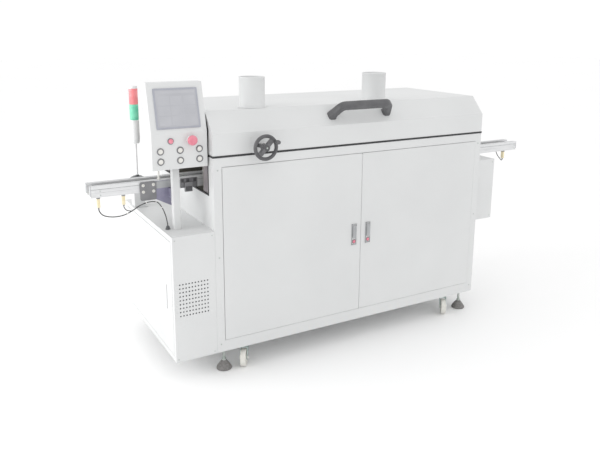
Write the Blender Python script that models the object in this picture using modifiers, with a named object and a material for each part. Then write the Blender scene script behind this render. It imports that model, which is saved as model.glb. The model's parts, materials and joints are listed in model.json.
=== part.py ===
"""Bench-line reflow oven: cabinet, hinged lid, width-adjustable board conveyor, control pod and casters.

Metres, +Z up, +X from the infeed end to the outfeed end, +Y from the front to the back, floor at Z = 0.
Every object hangs on one empty, so shapes are placed from the cabinet's front left corner.
"""

import math

import bmesh
import bpy
from mathutils import Matrix, Vector

# ---------------------------------------------------------------- driving dimensions
BODY_LENGTH = 1.43
BODY_DEPTH = 0.68
LID_LINE = 0.94
LID_FRONT_HEIGHT = 0.09
LID_SLOPE_HEIGHT = 0.083
LID_SLOPE_DEPTH = 0.076
LID_PARTING = 0.004

SHEET = 0.002
TOUCH_GAP = 0.0003
RUNNING_GAP = 0.0004

MOUTH_FRONT = 0.055
MOUTH_BACK = 0.62
MOUTH_BOTTOM = 0.775
MOUTH_TOP_MARGIN = 0.008
MOUTH_SHOULDER_LIFT = 0.012
MOUTH_FLARE = 0.010

BEARING_HALF_WIDTH = 0.025
BEARING_DEPTH = 0.0135
BEARING_RISE = 0.026
WHEEL_NOTCH = 0.034

FRONT_POST_WIDTH = 0.036
FRONT_SILL_HEIGHT = 0.05
FRONT_HEADER_HEIGHT = 0.043
DOOR_GAP = 0.0015
DOOR_PROUD = 0.0015
DOOR_THICKNESS = 0.018

CHAMBER_FRONT = 0.12
CHAMBER_BACK = 0.56
CHAMBER_FLOOR = 0.72
CHAMBER_END_GAP = 0.012
UPPER_CHAMBER_HEIGHT = 0.125
UPPER_CHAMBER_LIFT = 0.006
HEATER_RADIUS = 0.0055
HEATER_LIFT = 0.016
HEATER_PITCH = 0.06
HEATER_END_MARGIN = 0.13
HEATER_ROWS = 6
HEATER_BEND_STEPS = 6
UPPER_HEATER_SHARE = 0.68
HOOD_OVERLAP = 0.02
HOOD_HOLE_RADIUS = 0.034

INFEED_LENGTH = 0.18
INFEED_TOP = 0.635
SERVICE_DOOR_MARGIN = 0.022
SERVICE_DOOR_THICKNESS = 0.003
VENT_COLUMNS = 10
VENT_ROWS = 9
VENT_PITCH_X = 0.0132
VENT_PITCH_Z = 0.0168
VENT_HOLE_RADIUS = 0.0037
VENT_LEFT = 0.025
VENT_BOTTOM = 0.20
DOOR_SLOT_Y = 0.088
DOOR_SLOT_WIDTH = 0.006
DOOR_SLOT_BOTTOM = 0.306
DOOR_SLOT_TOP = 0.411

OUTFEED_LENGTH = 0.145
OUTFEED_FRONT = 0.04
OUTFEED_BACK = 0.55
OUTFEED_BOTTOM = 0.47
GEARBOX_HALF = 0.042
GEARBOX_DEPTH = 0.045
MOTOR_RADIUS = 0.038
MOTOR_LENGTH = 0.075

RAIL_OVERHANG = 0.44
RAIL_BOTTOM = 0.787
RAIL_HEIGHT = 0.045
RAIL_WIDTH = 0.022
FRONT_RAIL_Y = 0.175
RAIL_SPACING = 0.045
CHAIN_WIDTH = 0.006
CHAIN_THICKNESS = 0.004
CHAIN_HALF_HEIGHT = 0.0155
CHAIN_END_MARGIN = 0.008
SCREW_BLOCK_HALF = 0.018
SENSOR_HALF_WIDTH = 0.0055
SENSOR_LENGTH = 0.042
SENSOR_FRONT = 0.003
SENSOR_DEPTH = 0.014

SCREW_X = 0.203
SCREW_Z = 0.765
SCREW_RADIUS = 0.006
HANDWHEEL_Z = 0.972
HANDWHEEL_Y = -0.06
HANDWHEEL_RADIUS = 0.054
HANDWHEEL_RIM_RADIUS = 0.0075
HANDWHEEL_SHAFT_RADIUS = 0.008
KNOB_RADIUS = 0.009
KNOB_LENGTH = 0.03
KNOB_GAP = 0.002
KNOB_ANGLE = math.radians(30)
WEB_ANGLE = math.radians(46)
SPROCKET_RADIUS = 0.016
ADJUST_CHAIN_Y = 0.055
ADJUST_CHAIN_WIDTH = 0.005
CHAIN_PASSAGE = 0.012
CHAIN_END_GAP = 0.003
SCREW_PASSAGE = 0.002
WEB_HALF_WIDTH = 0.011
WEB_HALF_DEPTH = 0.003
HUB_RADIUS = 0.015
HUB_PROUD = 0.009
HUB_LENGTH = 0.03

DRIVE_SHAFT_OFFSET = 0.07
DRIVE_SHAFT_RADIUS = 0.005
DRIVE_SPROCKET_RADIUS = 0.0105

POD_LEFT = -0.232
POD_WIDTH = 0.225
POD_FRONT = 0.04
POD_BACK = 0.13
POD_BOTTOM = 0.90
POD_BEND = 1.04
POD_TOP = 1.233
POD_TOP_FRONT = 0.087
POST_WIDTH = 0.028
POST_X = -0.12
POST_OVERLAP = 0.09
BRACKET_REACH = 0.13
BRACKET_PLATE_WIDTH = 0.07
BRACKET_DROP = 0.039
BRACKET_CORNER_DROP = 0.07
BRACKET_THICKNESS = 0.004

SCREEN_WIDTH = 0.177
SCREEN_HEIGHT = 0.157
SCREEN_THICKNESS = 0.004
SCREEN_MARGIN = 0.018
LAMP_RADIUS = 0.0125
STOP_RADIUS = 0.02
BUTTON_RADIUS = 0.0095
BUTTON_PROUD = 0.0045
BUTTON_DEPTH = 0.022
BUTTON_PITCH_X = 0.079
BUTTON_PITCH_Z = 0.040
BUTTON_LOW_Z = 0.933
CONTROL_ROW_Z = 1.011
STOP_OFFSET = 0.045
STOP_STEM_RADIUS = 0.0085
LAMP_OFFSET = -0.037

TOWER_X = -0.155
TOWER_Y = 0.54
PEDESTAL_WIDTH = 0.05
PEDESTAL_TOP = 0.765
TOWER_FLANGE_RADIUS = 0.033
TOWER_POLE_RADIUS = 0.008
TOWER_LAMP_BOTTOM = 0.928
TOWER_LAMP_RADIUS = 0.0195
TOWER_BASE_HEIGHT = 0.106
TOWER_MODULE_HEIGHT = 0.070
TOWER_CAP_HEIGHT = 0.012
TOWER_FLANGE_HEIGHT = 0.005
TOWER_FLANGE_SUNK = 0.002

STACK_RADIUS = 0.055
STACK_WALL = 0.0025
STACK_HEIGHT = 0.127
STACK_FLANGE = 0.008
STACK_Y = 0.14
STACK_LEFT_X = 0.238
STACK_RIGHT_X = 0.865

HANDLE_SPAN = 0.305
HANDLE_RADIUS = 0.0175
HANDLE_STANDOFF = 0.07
HANDLE_INSET = 0.022
HANDLE_SLOPE_SHARE = 0.45
HANDLE_ANKLE = 0.014
HANDLE_FLOAT = 0.0015
HANDLE_BEND_RADIUS = 0.024

FOOT_X = 0.045
FOOT_Y = 0.042
FOOT_PAD_RADIUS = 0.033
FOOT_STEM_RADIUS = 0.006
CASTER_X = 0.15
CASTER_Y = 0.05
CASTER_WHEEL_RADIUS = 0.0385
CASTER_WHEEL_WIDTH = 0.024
CASTER_TRAIL = 0.036
CASTER_FLOOR_GAP = 0.0007
CASTER_CROWN_GAP = 0.00175
CASTER_HEADING = math.radians(236)
CASTER_SIDE_GAP = 0.0015
CASTER_LEG = 0.0025
CASTER_RACE_RADIUS = 0.021
CASTER_RACE_HEIGHT = 0.017
CASTER_AXLE_RADIUS = 0.004
CASTER_TREAD = 0.003

HINGE_RADIUS = 0.0045
HINGE_LUG_RADIUS = 0.0082
HINGE_LUG_WIDTH = 0.02
HINGE_SHEET_GAP = 0.0008
HINGE_STATIONS = 3
HINGE_ROD_MARGIN = 0.1
HINGE_TAB_DROP = 0.045
HINGE_TAB_THICKNESS = 0.004

LOCK_WIDTH = 0.024
LOCK_HEIGHT = 0.096
LOCK_BOTTOM = 0.474
LOCK_INSET = 0.038
LEVER_LENGTH = 0.062
LEVER_THICKNESS = 0.006
LOCK_BUTTON_RADIUS = 0.0075
LOCK_BUTTON_RISE = 0.015
LOCK_BUTTON_PROUD = 0.004
LOCK_BUTTON_DEPTH = 0.012
LOCK_CASE_PROUD = 0.002
LOCK_MARGIN = 0.003

PLATE_MARGIN_X = 0.30
PLATE_BOTTOM = 0.20
PLATE_TOP = 0.66
PLATE_STANDOFF = 0.02
PLATE_THICKNESS = 0.003

# ---------------------------------------------------------------- derived sizes
CASTER_CROWN = CASTER_FLOOR_GAP + 2 * CASTER_WHEEL_RADIUS + CASTER_CROWN_GAP + SHEET
CASTER_HEIGHT = CASTER_CROWN + CASTER_LEG / 2 + CASTER_RACE_HEIGHT
BODY_BOTTOM = CASTER_HEIGHT + TOUCH_GAP
BODY_TOP = LID_LINE - LID_PARTING / 2
LID_BOTTOM = LID_LINE + LID_PARTING / 2
LID_SHOULDER = LID_LINE + LID_FRONT_HEIGHT
LID_TOP = LID_SHOULDER + LID_SLOPE_HEIGHT
DOOR_BOTTOM = BODY_BOTTOM + FRONT_SILL_HEIGHT
DOOR_TOP = LID_LINE - FRONT_HEADER_HEIGHT
RAIL_TOP = RAIL_BOTTOM + RAIL_HEIGHT
REAR_RAIL_Y = FRONT_RAIL_Y + RAIL_WIDTH + RAIL_SPACING
RAIL_LENGTH = BODY_LENGTH + 2 * RAIL_OVERHANG
CHAIN_Z = RAIL_BOTTOM + RAIL_HEIGHT * 0.48
DRIVE_SHAFT_X = BODY_LENGTH + DRIVE_SHAFT_OFFSET
OUTFEED_TOP = RAIL_BOTTOM - SHEET
POD_CENTRE_X = POD_LEFT + POD_WIDTH / 2
POST_Y = POD_BACK - SHEET - TOUCH_GAP - POST_WIDTH / 2
STACK_XS = {"left": STACK_LEFT_X, "right": STACK_RIGHT_X}
KNOB_TIP_Y = HANDWHEEL_Y - HANDWHEEL_RIM_RADIUS - KNOB_LENGTH - KNOB_GAP
HINGE_Y = BODY_DEPTH + HINGE_LUG_RADIUS + HINGE_SHEET_GAP
HINGE_Z = LID_LINE + LID_PARTING / 4

ROUND_STEPS = 24
SMALL_STEPS = 16
CUT_REACH = 0.01

for old in list(bpy.data.objects):
    bpy.data.objects.remove(old, do_unlink=True)

PARTS = bpy.data.collections.new("reflow_oven")
CUTTERS = bpy.data.collections.new("cutters")
for collection in (PARTS, CUTTERS):
    bpy.context.scene.collection.children.link(collection)

ORIGIN = bpy.data.objects.new("oven_origin", None)
ORIGIN.location = (-BODY_LENGTH / 2, -(KNOB_TIP_Y + HINGE_Y + HINGE_LUG_RADIUS) / 2, 0)
PARTS.objects.link(ORIGIN)


# ---------------------------------------------------------------- helpers

def material(name, colour, roughness, metallic=0.0):
    made = bpy.data.materials.new(name)
    made.use_nodes = True
    shader = made.node_tree.nodes["Principled BSDF"]
    shader.inputs["Base Color"].default_value = (*colour, 1.0)
    shader.inputs["Roughness"].default_value = roughness
    shader.inputs["Metallic"].default_value = metallic
    return made


def place(obj, finish=None):
    """Put an object on the oven: a part with a finish, or a cutter without one."""
    obj.parent = ORIGIN
    if finish is None:
        CUTTERS.objects.link(obj)
        obj.hide_render = True
        obj.display_type = "WIRE"
    else:
        PARTS.objects.link(obj)
        obj.data.materials.append(finish)
    return obj


def set_origin(obj, point):
    """Move an unrotated object's origin to a point without moving its shape."""
    shift = Vector(point) - obj.location
    obj.data.transform(Matrix.Translation(-shift))
    obj.location = point


def smooth(obj, angle=35):
    obj.data.shade_smooth()
    obj.data.set_sharp_from_angle(angle=math.radians(angle))


def box(name, low, high, finish=None):
    low = Vector(low)
    high = Vector(high)
    mesh = bpy.data.meshes.new(name)
    shape = bmesh.new()
    bmesh.ops.create_cube(shape, size=1.0)
    bmesh.ops.scale(shape, vec=high - low, verts=shape.verts)
    shape.to_mesh(mesh)
    shape.free()
    obj = bpy.data.objects.new(name, mesh)
    obj.location = (low + high) / 2
    return place(obj, finish)


def open_box(name, low, high, open_sides, wall, finish):
    """A sheet box without the faces that look along open_sides, with its walls inside its size."""
    obj = box(name, low, high, finish)
    shape = bmesh.new()
    shape.from_mesh(obj.data)
    gone = [
        face for face in shape.faces
        if any(face.normal.dot(Vector(side)) > 0.9 for side in open_sides)
    ]
    bmesh.ops.delete(shape, geom=gone, context="FACES")
    shape.to_mesh(obj.data)
    shape.free()
    thicken(obj, wall)
    return obj


def thicken(obj, wall, offset=-1.0):
    shell = obj.modifiers.new("wall", "SOLIDIFY")
    shell.thickness = wall
    shell.offset = offset
    shell.use_even_offset = True


def soften(obj, width, segments=2):
    edge = obj.modifiers.new("edges", "BEVEL")
    edge.width = width
    edge.segments = segments
    edge.limit_method = "ANGLE"


def folded_sheet(name, outline, low_x, high_x, wall, finish):
    """A sheet folded along X: the outline lists the (y, z) points of its middle plane."""
    mesh = bpy.data.meshes.new(name)
    shape = bmesh.new()
    points = [shape.verts.new((low_x, y, z)) for y, z in outline]
    edges = [shape.edges.new(pair) for pair in zip(points, points[1:])]
    grown = bmesh.ops.extrude_edge_only(shape, edges=edges)
    moved = [item for item in grown["geom"] if isinstance(item, bmesh.types.BMVert)]
    bmesh.ops.translate(shape, vec=(high_x - low_x, 0, 0), verts=moved)
    shape.to_mesh(mesh)
    shape.free()
    obj = place(bpy.data.objects.new(name, mesh), finish)
    thicken(obj, wall, offset=0.0)
    return obj


def cylinder(name, centre, radius, length, axis, finish=None, steps=ROUND_STEPS):
    mesh = bpy.data.meshes.new(name)
    shape = bmesh.new()
    bmesh.ops.create_cone(
        shape, cap_ends=True, segments=steps, radius1=radius, radius2=radius, depth=length
    )
    shape.to_mesh(mesh)
    shape.free()
    mesh.transform(Vector((0, 0, 1)).rotation_difference(Vector(axis)).to_matrix().to_4x4())
    obj = bpy.data.objects.new(name, mesh)
    obj.location = centre
    place(obj, finish)
    if finish is not None:
        smooth(obj)
    return obj


def turned(name, profile, centre, finish=None, steps=ROUND_STEPS, closed=False, axis=(0, 0, 1)):
    """A turned shape: (radius, height) points from the top, down the outside, to the bottom."""
    mesh = bpy.data.meshes.new(name)
    shape = bmesh.new()
    points = [shape.verts.new((radius, 0, height)) for radius, height in profile]
    loop = points + points[:1] if closed else points
    for pair in zip(loop, loop[1:]):
        shape.edges.new(pair)
    shape.to_mesh(mesh)
    shape.free()
    obj = bpy.data.objects.new(name, mesh)
    obj.location = centre
    obj.rotation_euler = Vector((0, 0, 1)).rotation_difference(Vector(axis)).to_euler()
    place(obj, finish)
    spin = obj.modifiers.new("turn", "SCREW")
    spin.axis = "Z"
    spin.steps = steps
    spin.render_steps = steps
    spin.use_merge_vertices = True
    spin.merge_threshold = 0.00005
    return obj


def flat_plate(name, outlines, plane, offset, thickness, finish=None):
    """A flat plate cut from closed outlines, the first one outside and any others holes in it.

    Plane "XZ" reads the outline's points as (x, z) and grows along Y from the offset. Plane "YZ" reads
    them as (y, z) and grows along X.
    """
    curve = bpy.data.curves.new(name, "CURVE")
    curve.dimensions = "2D"
    curve.fill_mode = "BOTH"
    curve.extrude = thickness / 2
    for outline in outlines:
        spline = curve.splines.new("POLY")
        spline.points.add(len(outline) - 1)
        for point, (across, up) in zip(spline.points, outline):
            point.co = (across, up, 0, 1)
        spline.use_cyclic_u = True
    holder = bpy.data.objects.new(name + "_outline", curve)
    middle = offset + thickness / 2
    if plane == "XZ":
        turn = Matrix.Translation((0, middle, 0)) @ Matrix.Rotation(math.radians(90), 4, "X")
    else:
        turn = Matrix.Translation((middle, 0, 0)) @ Matrix(
            ((0, 0, 1, 0), (1, 0, 0, 0), (0, 1, 0, 0), (0, 0, 0, 1))
        )
    return solid_from_curve(name, holder, turn, finish)


def solid_from_curve(name, holder, turn, finish):
    """Make a closed mesh object from a curve object, placed by the matrix turn."""
    bpy.context.scene.collection.objects.link(holder)
    bpy.context.view_layer.update()
    graph = bpy.context.evaluated_depsgraph_get()
    mesh = bpy.data.meshes.new_from_object(holder.evaluated_get(graph))
    mesh.name = name
    mesh.transform(turn)
    weld(mesh)
    bpy.data.objects.remove(holder, do_unlink=True)
    return place(bpy.data.objects.new(name, mesh), finish)


def weld(mesh):
    shape = bmesh.new()
    shape.from_mesh(mesh)
    bmesh.ops.remove_doubles(shape, verts=shape.verts, dist=0.00002)
    bmesh.ops.recalc_face_normals(shape, faces=shape.faces)
    shape.to_mesh(mesh)
    shape.free()


def tube(name, points, radius, finish, resolution=2):
    """A round bar along a list of points, as a curve with filled caps."""
    curve = bpy.data.curves.new(name, "CURVE")
    curve.dimensions = "3D"
    curve.bevel_depth = radius
    curve.bevel_resolution = resolution
    curve.use_fill_caps = True
    spline = curve.splines.new("POLY")
    spline.points.add(len(points) - 1)
    for point, place_at in zip(spline.points, points):
        point.co = (*place_at, 1)
    return place(bpy.data.objects.new(name, curve), finish)


def round_corners(points, radius, steps):
    """Replace each inner corner of a path by a circular arc."""
    path = [Vector(points[0])]
    for before, corner, after in zip(points, points[1:], points[2:]):
        corner = Vector(corner)
        back = (Vector(before) - corner).normalized()
        ahead = (Vector(after) - corner).normalized()
        half = back.angle(ahead) / 2
        reach = radius / math.tan(half)
        centre = corner + (back + ahead).normalized() * (radius / math.sin(half))
        start = corner + back * reach - centre
        turn = start.rotation_difference(corner + ahead * reach - centre)
        for step in range(steps + 1):
            path.append(centre + Matrix.Rotation(turn.angle * step / steps, 3, turn.axis) @ start)
    path.append(Vector(points[-1]))
    return path


def cut(target, *cutters):
    for cutter in cutters:
        tool = target.modifiers.new("cut", "BOOLEAN")
        tool.operation = "DIFFERENCE"
        tool.object = cutter


def join(target, *pieces):
    for piece in pieces:
        tool = target.modifiers.new("join", "BOOLEAN")
        tool.operation = "UNION"
        tool.object = piece


def racetrack(centre_a, centre_b, radius, steps):
    """Outline of a band round two equal wheels, as points in a plane."""
    along = (Vector(centre_b) - Vector(centre_a)).normalized()
    start = math.atan2(along.y, along.x) + math.pi / 2
    outline = []
    for centre, begin in ((centre_a, start), (centre_b, start + math.pi)):
        for step in range(steps + 1):
            angle = begin + math.pi * step / steps
            outline.append((centre[0] + radius * math.cos(angle), centre[1] + radius * math.sin(angle)))
    return outline


def along_x(name, x, y, z, radius, length, finish=None, steps=ROUND_STEPS):
    return cylinder(name, (x + length / 2, y, z), radius, length, (1, 0, 0), finish, steps)


def along_y(name, x, y, z, radius, length, finish=None, steps=ROUND_STEPS):
    return cylinder(name, (x, y + length / 2, z), radius, length, (0, 1, 0), finish, steps)


# ---------------------------------------------------------------- finishes
POWDER_WHITE = material("powder_white", (0.86, 0.87, 0.87), 0.45)
STAINLESS = material("stainless", (0.62, 0.61, 0.58), 0.32, 1.0)
ALUMINIUM = material("aluminium", (0.72, 0.73, 0.76), 0.38, 1.0)
DARK_STEEL = material("dark_steel", (0.10, 0.10, 0.12), 0.5, 0.6)
ZINC = material("zinc", (0.60, 0.62, 0.60), 0.4, 1.0)
CHARCOAL = material("charcoal_plastic", (0.11, 0.12, 0.13), 0.42)
RUBBER = material("rubber", (0.10, 0.10, 0.11), 0.8)
WHEEL_NYLON = material("wheel_nylon", (0.83, 0.83, 0.80), 0.5)
RED = material("red_plastic", (0.72, 0.10, 0.14), 0.35)
LENS_RED = material("lens_red", (0.85, 0.14, 0.18), 0.25)
LENS_GREEN = material("lens_green", (0.10, 0.60, 0.38), 0.25)
LAMP_WHITE = material("lamp_white", (0.86, 0.87, 0.87), 0.4)
SCREEN_GREY = material("screen_grey", (0.45, 0.48, 0.55), 0.3)
CAP_WHITE = material("cap_white", (0.88, 0.88, 0.85), 0.4)
CABLE_BLACK = material("cable_black", (0.03, 0.03, 0.03), 0.6)
HEATER_METAL = material("heater_metal", (0.28, 0.25, 0.22), 0.5, 0.9)


# ---------------------------------------------------------------- cabinet
def cabinet():
    shell = open_box(
        "body_shell", (0, 0, BODY_BOTTOM), (BODY_LENGTH, BODY_DEPTH, BODY_TOP),
        [(0, 0, 1), (0, 0, -1)], SHEET, POWDER_WHITE,
    )
    reach = 10 * SHEET
    bearing = box(
        "bearing_bracket",
        (SCREW_X - BEARING_HALF_WIDTH, SHEET / 4, BODY_TOP - 2 * CUT_REACH),
        (SCREW_X + BEARING_HALF_WIDTH, BEARING_DEPTH, HANDWHEEL_Z + BEARING_RISE),
    )
    join(shell, bearing)
    cut(
        shell,
        box("mouth_cut", (-reach, MOUTH_FRONT, MOUTH_BOTTOM),
            (BODY_LENGTH + reach, MOUTH_BACK, BODY_TOP + reach)),
        box("door_cut", (FRONT_POST_WIDTH, -reach, DOOR_BOTTOM),
            (BODY_LENGTH - FRONT_POST_WIDTH, reach, DOOR_TOP)),
        along_y("bearing_bore", SCREW_X, -reach, HANDWHEEL_Z, HANDWHEEL_SHAFT_RADIUS + RUNNING_GAP,
                BEARING_DEPTH + 2 * reach),
    )
    inside = SHEET + TOUCH_GAP
    box(
        "base_pan", (inside, inside, BODY_BOTTOM),
        (BODY_LENGTH - inside, BODY_DEPTH - inside, BODY_BOTTOM + 2 * SHEET), POWDER_WHITE,
    )
    electrical_plate()


def electrical_plate():
    """Mounting plate at the back of the cabinet with its control modules in a row."""
    back = BODY_DEPTH - SHEET - PLATE_STANDOFF
    plate = box("electrical_plate", (PLATE_MARGIN_X, back, PLATE_BOTTOM),
                (BODY_LENGTH - PLATE_MARGIN_X, back + PLATE_THICKNESS, PLATE_TOP), ZINC)
    # name, distance right of the plate's edge, width, distance above its edge, height, depth
    modules = (
        ("controller", 0.04, 0.17, 0.24, 0.13, 0.075),
        ("relay_bank", 0.26, 0.30, 0.24, 0.13, 0.055),
        ("power_supply", 0.62, 0.16, 0.22, 0.16, 0.060),
        ("contactors", 0.06, 0.34, 0.04, 0.10, 0.070),
        ("terminals", 0.46, 0.30, 0.04, 0.06, 0.045),
    )
    for name, right, width, up, height, depth in modules:
        low = (PLATE_MARGIN_X + right, back - depth, PLATE_BOTTOM + up)
        high = (low[0] + width, back + PLATE_THICKNESS / 3, low[2] + height)
        join(plate, box(name, low, high))


def lower_chamber():
    """Stainless trough that the boards travel in, hung in the cabinet by its flanges."""
    flange_z = BODY_TOP - 2 * SHEET
    inside = SHEET + TOUCH_GAP
    outline = [
        (inside, flange_z), (CHAMBER_FRONT, flange_z), (CHAMBER_FRONT, CHAMBER_FLOOR),
        (CHAMBER_BACK, CHAMBER_FLOOR), (CHAMBER_BACK, flange_z), (BODY_DEPTH - inside, flange_z),
    ]
    trough = folded_sheet("lower_chamber", outline, inside, BODY_LENGTH - inside, SHEET, STAINLESS)
    slot = max(BEARING_HALF_WIDTH, SPROCKET_RADIUS + CHAIN_THICKNESS) + CHAIN_END_GAP
    cut(
        trough,
        box("chain_slot", (SCREW_X - slot, -CUT_REACH, flange_z - CUT_REACH),
            (SCREW_X + slot, ADJUST_CHAIN_Y + CHAIN_PASSAGE, flange_z + CUT_REACH)),
        along_y("screw_passage", SCREW_X, CHAMBER_FRONT - CUT_REACH, SCREW_Z, SCREW_RADIUS + SCREW_PASSAGE,
                CHAMBER_BACK - CHAMBER_FRONT + 2 * CUT_REACH, steps=SMALL_STEPS),
    )
    heater("lower_heater", CHAMBER_FLOOR + HEATER_LIFT)


def heater(name, height):
    """Serpentine tube heater: straight runs along the oven joined by half circles."""
    radius = HEATER_PITCH / 2
    low_x = HEATER_END_MARGIN
    high_x = BODY_LENGTH - HEATER_END_MARGIN
    middle = (CHAMBER_FRONT + CHAMBER_BACK) / 2
    first = middle - HEATER_PITCH * (HEATER_ROWS - 1) / 2
    path = [(low_x, first, height)]
    for row in range(HEATER_ROWS - 1):
        y = first + row * HEATER_PITCH
        side = 1 if row % 2 == 0 else -1
        end_x = high_x if side > 0 else low_x + radius
        for step in range(HEATER_BEND_STEPS + 1):
            angle = math.pi * step / HEATER_BEND_STEPS
            path.append((
                end_x + side * radius * math.sin(angle),
                y + radius - radius * math.cos(angle),
                height,
            ))
    last = first + (HEATER_ROWS - 1) * HEATER_PITCH
    path.append((low_x, last, height))
    tube(name, path, HEATER_RADIUS, HEATER_METAL, resolution=1)


# ---------------------------------------------------------------- lid
def lid_outline(bottom):
    """Middle plane of the lid's skin, from the front lower edge over the top to the back one."""
    middle = SHEET / 2
    return [
        (middle, bottom), (middle, LID_SHOULDER), (LID_SLOPE_DEPTH, LID_TOP - middle),
        (BODY_DEPTH - LID_SLOPE_DEPTH, LID_TOP - middle),
        (BODY_DEPTH - middle, LID_SHOULDER), (BODY_DEPTH - middle, bottom),
    ]


def mouth_outline():
    """Edge of the board mouth in the lid's end plates, from the back lower corner to the front one."""
    top = LID_TOP - MOUTH_TOP_MARGIN
    shoulder = LID_SHOULDER + MOUTH_SHOULDER_LIFT
    inset = LID_SLOPE_DEPTH + SHEET
    return [
        (MOUTH_BACK, LID_BOTTOM), (MOUTH_BACK + MOUTH_FLARE, shoulder), (BODY_DEPTH - inset, top),
        (inset, top), (MOUTH_FRONT - MOUTH_FLARE, shoulder), (MOUTH_FRONT, LID_BOTTOM),
    ]


def lid():
    shell = folded_sheet("lid_shell", lid_outline(LID_BOTTOM), 0, BODY_LENGTH, SHEET, POWDER_WHITE)
    end_outline = lid_outline(LID_BOTTOM) + mouth_outline()
    for name, x in (("lid_end_left", SHEET / 4), ("lid_end_right", BODY_LENGTH - SHEET * 1.25)):
        join(shell, flat_plate(name, [end_outline], "YZ", x, SHEET))
    stations = hinge_stations()
    for index, x in enumerate(stations):
        join(
            shell,
            along_x(f"lid_lug_{index}", x, HINGE_Y, HINGE_Z, HINGE_LUG_RADIUS, HINGE_LUG_WIDTH),
            box(f"lid_tab_{index}", (x, BODY_DEPTH - SHEET * 0.6, LID_BOTTOM + TOUCH_GAP),
                (x + HINGE_LUG_WIDTH, HINGE_Y, HINGE_Z + HINGE_LUG_RADIUS * 0.9)),
        )
    cut(
        shell,
        box("wheel_notch", (SCREW_X - WHEEL_NOTCH, -CUT_REACH, LID_BOTTOM - CUT_REACH),
            (SCREW_X + WHEEL_NOTCH, 2 * CUT_REACH, HANDWHEEL_Z + WHEEL_NOTCH)),
        along_x("lid_pin_bore", 0, HINGE_Y, HINGE_Z, HINGE_RADIUS + RUNNING_GAP, BODY_LENGTH,
                steps=SMALL_STEPS),
    )
    for side, x in STACK_XS.items():
        bore = STACK_RADIUS - STACK_WALL
        cut(shell, cylinder(f"lid_hole_{side}", (x, STACK_Y, LID_TOP), bore, 2 * CUT_REACH, (0, 0, 1)))
        exhaust_stack(side, x)
    set_origin(shell, (BODY_LENGTH / 2, HINGE_Y, HINGE_Z))
    hinge_rod(stations)
    upper_chamber()
    lid_handle()


def hinge_stations():
    share = BODY_LENGTH / (2 * HINGE_STATIONS)
    return [share * (2 * index + 1) for index in range(HINGE_STATIONS)]


def hinge_rod(stations):
    """Long hinge pin held to the cabinet's back by welded lugs."""
    rod = along_x("lid_hinge_rod", HINGE_ROD_MARGIN, HINGE_Y, HINGE_Z, HINGE_RADIUS,
                  BODY_LENGTH - 2 * HINGE_ROD_MARGIN, ZINC, SMALL_STEPS)
    plate_face = BODY_DEPTH + TOUCH_GAP
    for index, station in enumerate(stations):
        x = station + HINGE_LUG_WIDTH + RUNNING_GAP
        join(
            rod,
            along_x(f"body_lug_{index}", x, HINGE_Y, HINGE_Z, HINGE_LUG_RADIUS, HINGE_LUG_WIDTH),
            box(f"body_tab_{index}", (x, plate_face, BODY_TOP - HINGE_TAB_DROP),
                (x + HINGE_LUG_WIDTH, plate_face + HINGE_TAB_THICKNESS, HINGE_Z)),
        )


def upper_chamber():
    low = (CHAMBER_END_GAP, CHAMBER_FRONT - HOOD_OVERLAP, LID_BOTTOM + UPPER_CHAMBER_LIFT)
    high = (BODY_LENGTH - CHAMBER_END_GAP, CHAMBER_BACK + HOOD_OVERLAP, low[2] + UPPER_CHAMBER_HEIGHT)
    hood = open_box("upper_chamber", low, high, [(0, 0, -1)], SHEET, STAINLESS)
    for side, x in STACK_XS.items():
        cut(hood, cylinder(f"hood_hole_{side}", (x, STACK_Y, high[2]), HOOD_HOLE_RADIUS, 2 * CUT_REACH,
                           (0, 0, 1), steps=SMALL_STEPS))
    heater("upper_heater", low[2] + UPPER_CHAMBER_HEIGHT * UPPER_HEATER_SHARE)


def exhaust_stack(side, x):
    bore = STACK_RADIUS - STACK_WALL
    flange = STACK_RADIUS + STACK_FLANGE
    profile = [
        (STACK_RADIUS, STACK_HEIGHT), (STACK_RADIUS, STACK_WALL), (flange, STACK_WALL), (flange, 0),
        (bore, 0), (bore, STACK_HEIGHT),
    ]
    stack = turned(f"exhaust_stack_{side}", profile, (x, STACK_Y, LID_TOP + TOUCH_GAP), POWDER_WHITE,
                   steps=32, closed=True)
    smooth(stack)


def lid_handle():
    """Thick pull bar whose two legs stand square on the lid's slope."""
    slope = Vector((0, LID_SLOPE_DEPTH, LID_SLOPE_HEIGHT))
    outward = Vector((0, -LID_SLOPE_HEIGHT, LID_SLOPE_DEPTH)).normalized()
    middle = Vector((BODY_LENGTH / 2, 0, LID_SHOULDER)) + slope * HANDLE_SLOPE_SHARE
    side = Vector((HANDLE_SPAN / 2, 0, 0))
    inner = Vector((HANDLE_SPAN / 2 - HANDLE_INSET, 0, 0))
    base = outward * HANDLE_FLOAT
    ankle = outward * HANDLE_ANKLE
    bar = outward * HANDLE_STANDOFF
    path = [
        middle - side + base, middle - side + ankle, middle - inner + bar,
        middle + inner + bar, middle + side + ankle, middle + side + base,
    ]
    tube("lid_handle", round_corners(path, HANDLE_BEND_RADIUS, 4), HANDLE_RADIUS, CHARCOAL, resolution=3)


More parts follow.
